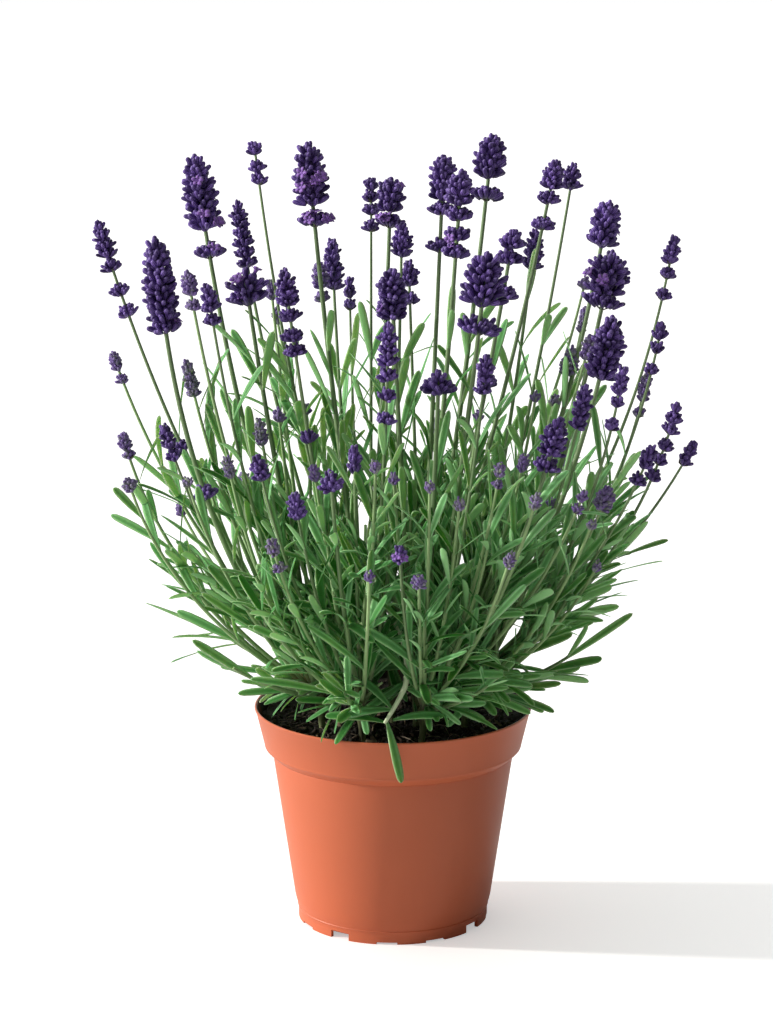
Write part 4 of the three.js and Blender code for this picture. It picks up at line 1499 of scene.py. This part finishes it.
class LAVENDER_OT_rim_sprig(bpy.types.Operator):
    """Hang a small leafy sprig over the front of the rim"""

    bl_idname = "lavender.rim_sprig"
    bl_label = "Sprig over the rim"

    def execute(self, context):
        bm = new_bmesh()
        width = in_mm(context.scene.lavender_green.leaf_width) / 4.4
        top = seen_at(8, 150, -36)
        bend, elbow, foot = seen_at(9, 134, -50), seen_at(6, 112, -58), seen_at(-4, 93.5, -64.5)
        curves = [stalk.curve for shoot in plant() for stalk in shoot.stalks]
        places = [curve.at(i / 20) for curve in curves for i in range(20)]
        host = min(places, key=lambda place: (place - top).length)
        draw = random.Random(31)
        upper = Bend(host, bend, elbow)
        lower = Bend(elbow, elbow.lerp(foot, 0.5) + Vector((1.5, 1, 1)), foot)
        stations = stem_stations(upper, 0, 0.96, 9, 1.1, 1.25)
        stations += stem_stations(lower, 0.04, 1, 7, 1.25, 0.8)
        skin(bm, with_ends(stations), SQUARE, 1, 1.0)
        for root, tip, wide, tone in RIM_LEAVES:
            start, end = seen_at(*root), seen_at(*tip)
            curve = Bend(start, start.lerp(end, 0.5) + Vector((0, -1.5, 3.0)), end)
            twist = draw.uniform(-0.25, 0.25)
            add_leaf(bm, curve, wide * width, Vector((0, -0.6, 0.8)), twist, tone)
        materials = [leaf_finish(), stalk_finish("pale_stem", (0.74, 0.86, 0.55))]
        add_piece("rim_sprig", bm, materials)
        return {"FINISHED"}


# ------------------------------------------------------------------ flower spikes

# Height and radius along a closed bud, as shares, and along a floret's calyx and tube.
BUD_SHAPE = (
    (0, 0.0), (0.03, 0.42), (0.28, 0.78), (0.60, 1.0), (0.84, 0.92), (0.96, 0.55), (1.0, 0.0),
)
CALYX_SHAPE = ((0, 0.0), (0.1, 0.5), (2, 0.95), (3.8, 1.15), (4.4, 1.0), (4.5, 0.0))
TUBE_SHAPE = ((3.6, 0.0), (3.8, 0.7), (5.4, 0.95), (6.2, 1.25), (6.25, 0.0))
# Where a floret's lobes stand round the tube, their length and half width, and their outline.
LOBES = (
    (0.42, 3.1, 1.5), (-0.42, 3.1, 1.5), (1.75, 2.3, 1.15), (3.14, 2.5, 1.3), (-1.75, 2.3, 1.15),
)
LOBE_SHAPE = ((0, 0.0), (0.05, 0.5), (0.4, 0.95), (0.8, 0.8), (1, 0.0))
BRACT_SHAPE = ((0, 0.0), (0.04, 0.5), (0.35, 1.0), (0.7, 0.55), (1, 0.0))
FLORET_SIZE = 6.0
FLORET_SPOT = 2.4                   # how near a bud must be to a listed floret to open
FACING_BACK = 0.35                  # buds that point further back than this stay closed
STEM_RADIUS = 0.35                  # buds are rooted at least this far from the stem's middle
BUD, PETAL, BRACT = 0, 1, 2         # material slots of a spike


def upright(shape, thick=None):
    """Stations up the Z axis from heights and half widths; a flat shape has one thickness."""
    side, back = across(UP)
    stations = []
    for z, wide in shape:
        depth = wide if thick is None else thick * (wide > 0)
        stations.append((UP * z, side, back, wide, depth))
    return stations


def bud_shape():
    """Closed bud along +Z, one long and of radius one."""
    bm = new_bmesh()
    skin(bm, upright(BUD_SHAPE), circle(7), BUD)
    return mesh_from(bm, "bud")


def floret_shape():
    """Open floret along +Z: the calyx, the corolla's tube and its five lobes."""
    bm = new_bmesh()
    skin(bm, upright(CALYX_SHAPE), circle(6), BUD)
    skin(bm, upright(TUBE_SHAPE), circle(6), PETAL)
    for angle, length, half in LOBES:
        outward = outward_at(UP, angle)
        root = UP * 6.0 + outward * 0.7
        middle, tip = (UP + outward * 0.6) * (length * 0.5), (UP * 0.3 + outward) * length
        curve = Bend(root, root + middle, root + tip)
        wing = outward.cross(UP)
        stations = []
        for share, wide in LOBE_SHAPE:
            face = curve.along(share).cross(wing)
            stations.append((curve.at(share), wing, face, half * wide, 0.12 if wide > 0 else 0))
        skin(bm, stations, ((1, 0.6), (0, 0.9), (-1, 0.6), (0, -0.9)), PETAL)
    return mesh_from(bm, "floret")


def bract_shape():
    """Pointed bract along +Z, one long and of half width one."""
    bm = new_bmesh()
    skin(bm, upright(BRACT_SHAPE, 0.25), ((1, 0.8), (0, 0.4), (-1, 0.8), (0, -0.4)), BRACT)
    return mesh_from(bm, "bract")


def spike_shapes():
    """The small shapes that every spike is made of."""
    return SimpleNamespace(bud=bud_shape(), floret=floret_shape(), bract=bract_shape())


def opens_here(place, outward):
    """Whether a bud at a place is one of the open florets seen from the front."""
    if outward.y > FACING_BACK:
        return False
    seen = seen_from_front(place)
    return any(math.hypot(seen.x - x, seen.z - z) < FLORET_SPOT for x, z in OPEN_FLORETS)


def add_bud_ring(bm, shapes, stalk, foot, radius, length, lean, count, turn, look, draw):
    """A ring of buds rooted at a distance below the tip; their tips reach the radius."""
    lean = min(math.radians(lean), math.asin(min(max(radius - 0.5, 0.3) / length, 1)))
    offset = max(radius - length * math.sin(lean), STEM_RADIUS)
    for i in range(count):
        angle = turn + 2 * math.pi * i / count + draw.uniform(-0.22, 0.22)
        reach = length * draw.uniform(0.80, 1.12)
        root, stem = stalk.below_tip(max(foot + draw.uniform(-0.5, 0.5), 0.5))
        outward = outward_at(stem, angle)
        tilt = lean + draw.uniform(-0.26, 0.16)
        way = stem * math.cos(tilt) + outward * math.sin(tilt)
        start = root + outward * offset + stem * ((offset - STEM_RADIUS) * 0.3)
        tone = min(max(draw.gauss(look.tone, 0.28), 0), 1)
        stray = draw.random() < look.strays
        if look.opens and radius > 2.5 and (stray or opens_here(start + way * reach, outward)):
            size = draw.uniform(0.85, 1.05) * min(reach / FLORET_SIZE, 1)
            stamp(bm, shapes.floret, aimed(start, way, draw.uniform(-0.5, 0.5), (size,) * 3), tone)
            continue
        half = look.half * draw.uniform(0.88, 1.1)
        spin = draw.uniform(0, 2 * math.pi)
        stamp(bm, shapes.bud, aimed(start, way, spin, (half, half, reach)), tone)


def add_bracts(bm, shapes, stalk, distance, size, turn):
    """A pair of bracts under a whorl."""
    root, stem = stalk.below_tip(distance)
    for half_turn in (0, math.pi):
        outward = outward_at(stem, turn + half_turn)
        way = (stem * 0.5 + outward * 0.85).normalized()
        matrix = aimed(root + outward * 0.4, way, 0, (size * 0.36, size * 0.5, size))
        stamp(bm, shapes.bract, matrix, 0.5)


# Rings of a dense whorl: share of its radius and of its buds, rise in tiers, lean in degrees.
TIER_RINGS = (
    (1.0, 1.0, 0.0, 62), (0.80, 0.8, 0.22, 46), (0.48, 0.5, 0.34, 28), (0.55, 0.45, -0.1, 52),
)
# Rings of a separate whorl: share of its radius, drop, lean in degrees, and buds left out.
WHORL_RINGS = ((1.0, 2.0, 60, 0), (0.74, 1.3, 42, 1), (0.42, 0.9, 22, 3))
LEAST_BUDS = 5


def ring_count(radius, spacing, most):
    """How many buds go round a ring."""
    return min(max(round(2 * math.pi * radius / spacing), LEAST_BUDS), most)


def add_tier(bm, shapes, stalk, foot, radius, turn, look, draw):
    """A dense whorl of buds in rings; foot is where its lowest buds are rooted."""
    count = ring_count(radius, look.spacing, 11)
    for reach, share, rise, lean in TIER_RINGS:
        number = max(round(count * share), 3)
        spot = foot - look.pitch * rise
        size = look.length * (1 - 0.25 * rise)
        add_bud_ring(bm, shapes, stalk, spot, radius * reach, size, lean, number, turn, look, draw)
        turn += math.pi / count + draw.uniform(-0.2, 0.2)


def add_spike(bm, shapes, stalk, look, draw):
    """Pointed crown, dense tiers of buds and the separate whorls below them.

    look says how the buds sit: the pitch between tiers, the spacing round a tier, a bud's length as
    short + long x the spike's width, whether florets open, and the share of stray ones.
    """
    look.length = look.short + look.long * stalk.width
    crown = min(look.length * 0.92, stalk.head * 0.62)
    turn = draw.uniform(0, 2 * math.pi)
    add_bud_ring(bm, shapes, stalk, crown, 1.3, crown, 15, 4, turn, look, draw)
    near, length = stalk.width * 0.30, look.length * 0.9
    add_bud_ring(bm, shapes, stalk, crown + 0.9, near, length, 34, 5, turn + 0.6, look, draw)
    tiers = max(1, round((stalk.head - crown) / look.pitch))
    for tier in range(tiers):
        share = (tier + 1) / tiers
        swell = (0.76 + 0.24 * min(1, share * 1.7)) * draw.uniform(0.94, 1.07)
        foot = crown + (stalk.head - crown) * share + draw.uniform(-0.5, 0.3)
        add_tier(bm, shapes, stalk, foot, stalk.width * 0.555 * swell, turn, look, draw)
        turn += draw.uniform(0.3, 1.2)
    for whorl in stalk.whorls:
        share = LOW_WHORL_SHARE if whorl > LOW_WHORL else WHORL_SHARE
        radius = stalk.width * share * 1.05
        count = ring_count(radius, look.spacing * 0.95, 12)
        size = look.length * 0.95
        for reach, drop, lean, fewer in WHORL_RINGS:
            number, foot, out = max(count - fewer, 3), whorl + drop, radius * reach
            add_bud_ring(bm, shapes, stalk, foot, out, size, lean, number, turn, look, draw)
            turn += 0.45
        add_bracts(bm, shapes, stalk, whorl + 2.4, 3.4, turn)
        turn += 0.9


class LAVENDER_OT_spikes(bpy.types.Operator):
    """Stud the ripe spikes with whorls of violet buds and open florets"""

    bl_idname = "lavender.spikes"
    bl_label = "Ripe flower spikes"

    def execute(self, context):
        settings = context.scene.lavender_flower
        shapes = spike_shapes()
        draw = random.Random(17)
        pitch = in_mm(settings.tier_pitch)
        look = SimpleNamespace(pitch=pitch, spacing=3.3, short=3.3, long=0.19, opens=True)
        for stalk in stalks_of("spike"):
            bm = new_bmesh()
            look.half = in_mm(settings.bud_radius) * min(max(stalk.width / 12, 0.84), 1.12)
            look.tone = draw.uniform(0.38, 0.70)
            look.strays = 0.012 if stalk.width > 13 else 0
            add_spike(bm, shapes, stalk, look, draw)
            name = f"spike_{stalk.number:02d}"
            materials = [bud_finish(), petal_finish(), bract_finish()]
            add_piece(f"{name}_buds", bm, materials, [name])
        return {"FINISHED"}


class LAVENDER_OT_young_spikes(bpy.types.Operator):
    """Set the closed grey-green spikes on their thin stalks"""

    bl_idname = "lavender.young_spikes"
    bl_label = "Young flower spikes"

    def execute(self, context):
        shapes = spike_shapes()
        draw = random.Random(23)
        look = SimpleNamespace(pitch=2.2, spacing=2.3, short=2.4, long=0.22, opens=False, strays=0)
        for shoot in plant():
            young = [stalk for stalk in shoot.stalks if stalk.kind == "young"]
            if not young:
                continue
            bm = new_bmesh()
            for stalk in young:
                look.half = 0.72 * min(max(stalk.width / 6, 0.85), 1.15)
                look.tone = draw.uniform(0.40, 1.0)
                add_spike(bm, shapes, stalk, look, draw)
            materials = [young_finish(), petal_finish(), bract_finish()]
            add_piece(f"shoot_{shoot.number:02d}_young_spikes", bm, materials)
        return {"FINISHED"}


# ------------------------------------------------------------------ stage

CAMERA_PLACE = (-0.00306, -1.4, 0.5028)     # metres
FLOOR_SIZE = 8                              # half width, metres
SHADE_WAY = (0.86, -0.50, 0.0)
SUN_WAY = Vector((0.94, -0.06, -0.32))


def light_studio(tree, left, right):
    """White studio that is brighter on the left; seen directly it is plain white."""
    background = tree.nodes["Background"]
    background.inputs["Color"].default_value = (1, 1, 1, 1)
    way = tree.nodes.new("ShaderNodeTexCoord").outputs["Generated"]
    side = tree.nodes.new("ShaderNodeVectorMath")
    side.operation = "DOT_PRODUCT"
    side.inputs[1].default_value = SHADE_WAY
    fade = tree.nodes.new("ShaderNodeMapRange")
    fade.interpolation_type = "SMOOTHSTEP"
    for key, value in (("From Min", -0.7), ("From Max", 0.74), ("To Min", left), ("To Max", right)):
        fade.inputs[key].default_value = value
    seen = tree.nodes.new("ShaderNodeMix")
    seen.inputs["B"].default_value = 1.0
    direct = tree.nodes.new("ShaderNodeLightPath").outputs["Is Camera Ray"]
    tree.links.new(way, side.inputs[0])
    tree.links.new(side.outputs["Value"], fade.inputs["Value"])
    tree.links.new(direct, seen.inputs["Factor"])
    tree.links.new(fade.outputs["Result"], seen.inputs["A"])
    tree.links.new(seen.outputs["Result"], background.inputs["Strength"])


def add_sun(power):
    """Low light from the left and slightly behind."""
    data = bpy.data.lights.new("key_left", "SUN")
    data.energy = power
    data.angle = math.radians(3)
    data.color = (1.0, 0.975, 0.94)
    placed("key_left", data).rotation_euler = SUN_WAY.to_track_quat("-Z", "Y").to_euler()


class LAVENDER_OT_stage(bpy.types.Operator):
    """Set the camera, the pale floor and the soft studio lights"""

    bl_idname = "lavender.stage"
    bl_label = "Camera, floor and lights"

    def execute(self, context):
        settings = context.scene.lavender_stage
        data = bpy.data.cameras.new("front_camera")
        data.lens = settings.lens
        data.clip_end = 50
        camera = placed("front_camera", data)
        camera.location = CAMERA_PLACE
        camera.rotation_euler = (math.pi / 2 - settings.pitch, 0, 0)
        context.scene.camera = camera

        bm = bmesh.new()
        bmesh.ops.create_grid(bm, x_segments=4, y_segments=4, size=FLOOR_SIZE)
        mesh = mesh_from(bm, "pale_floor")
        mesh.materials.append(floor_finish())
        floor = placed("pale_floor", mesh)

        world = bpy.data.worlds.new("white_studio")
        world.use_nodes = True
        light_studio(world.node_tree, settings.sky_left, settings.sky_right)
        context.scene.world = world
        context.scene.view_settings.view_transform = "Standard"
        add_sun(settings.sun_power)
        return {"FINISHED"}


# ------------------------------------------------------------------ add-on


class LAVENDER_PT_panel(bpy.types.Panel):
    """Settings and steps of the potted lavender"""

    bl_idname = "LAVENDER_PT_panel"
    bl_label = "Potted lavender"
    bl_space_type = "VIEW_3D"
    bl_region_type = "UI"
    bl_category = "Lavender"

    def draw(self, context):
        layout = self.layout
        for name in SETTINGS:
            box = layout.box()
            group = getattr(context.scene, name)
            for key in group.__annotations__:
                box.prop(group, key)
        for operator in STEPS:
            layout.operator(operator.bl_idname)


SETTINGS = {
    "lavender_pot": LavenderPotSettings,
    "lavender_soil": LavenderSoilSettings,
    "lavender_green": LavenderGreenSettings,
    "lavender_flower": LavenderFlowerSettings,
    "lavender_stage": LavenderStageSettings,
}
STEPS = (
    LAVENDER_OT_stage,
    LAVENDER_OT_pot,
    LAVENDER_OT_soil,
    LAVENDER_OT_litter,
    LAVENDER_OT_stalks,
    LAVENDER_OT_leaves,
    LAVENDER_OT_rim_sprig,
    LAVENDER_OT_spikes,
    LAVENDER_OT_young_spikes,
)


def register():
    for group in SETTINGS.values():
        bpy.utils.register_class(group)
    for operator in STEPS:
        bpy.utils.register_class(operator)
    bpy.utils.register_class(LAVENDER_PT_panel)
    for name, group in SETTINGS.items():
        setattr(bpy.types.Scene, name, PointerProperty(type=group))


def unregister():
    for name in SETTINGS:
        delattr(bpy.types.Scene, name)
    bpy.utils.unregister_class(LAVENDER_PT_panel)
    for operator in reversed(STEPS):
        bpy.utils.unregister_class(operator)
    for group in SETTINGS.values():
        bpy.utils.unregister_class(group)


def main():
    register()
    for operator in STEPS:
        getattr(bpy.ops.lavender, operator.bl_idname.split(".")[1])()


if __name__ == "__main__":
    main()
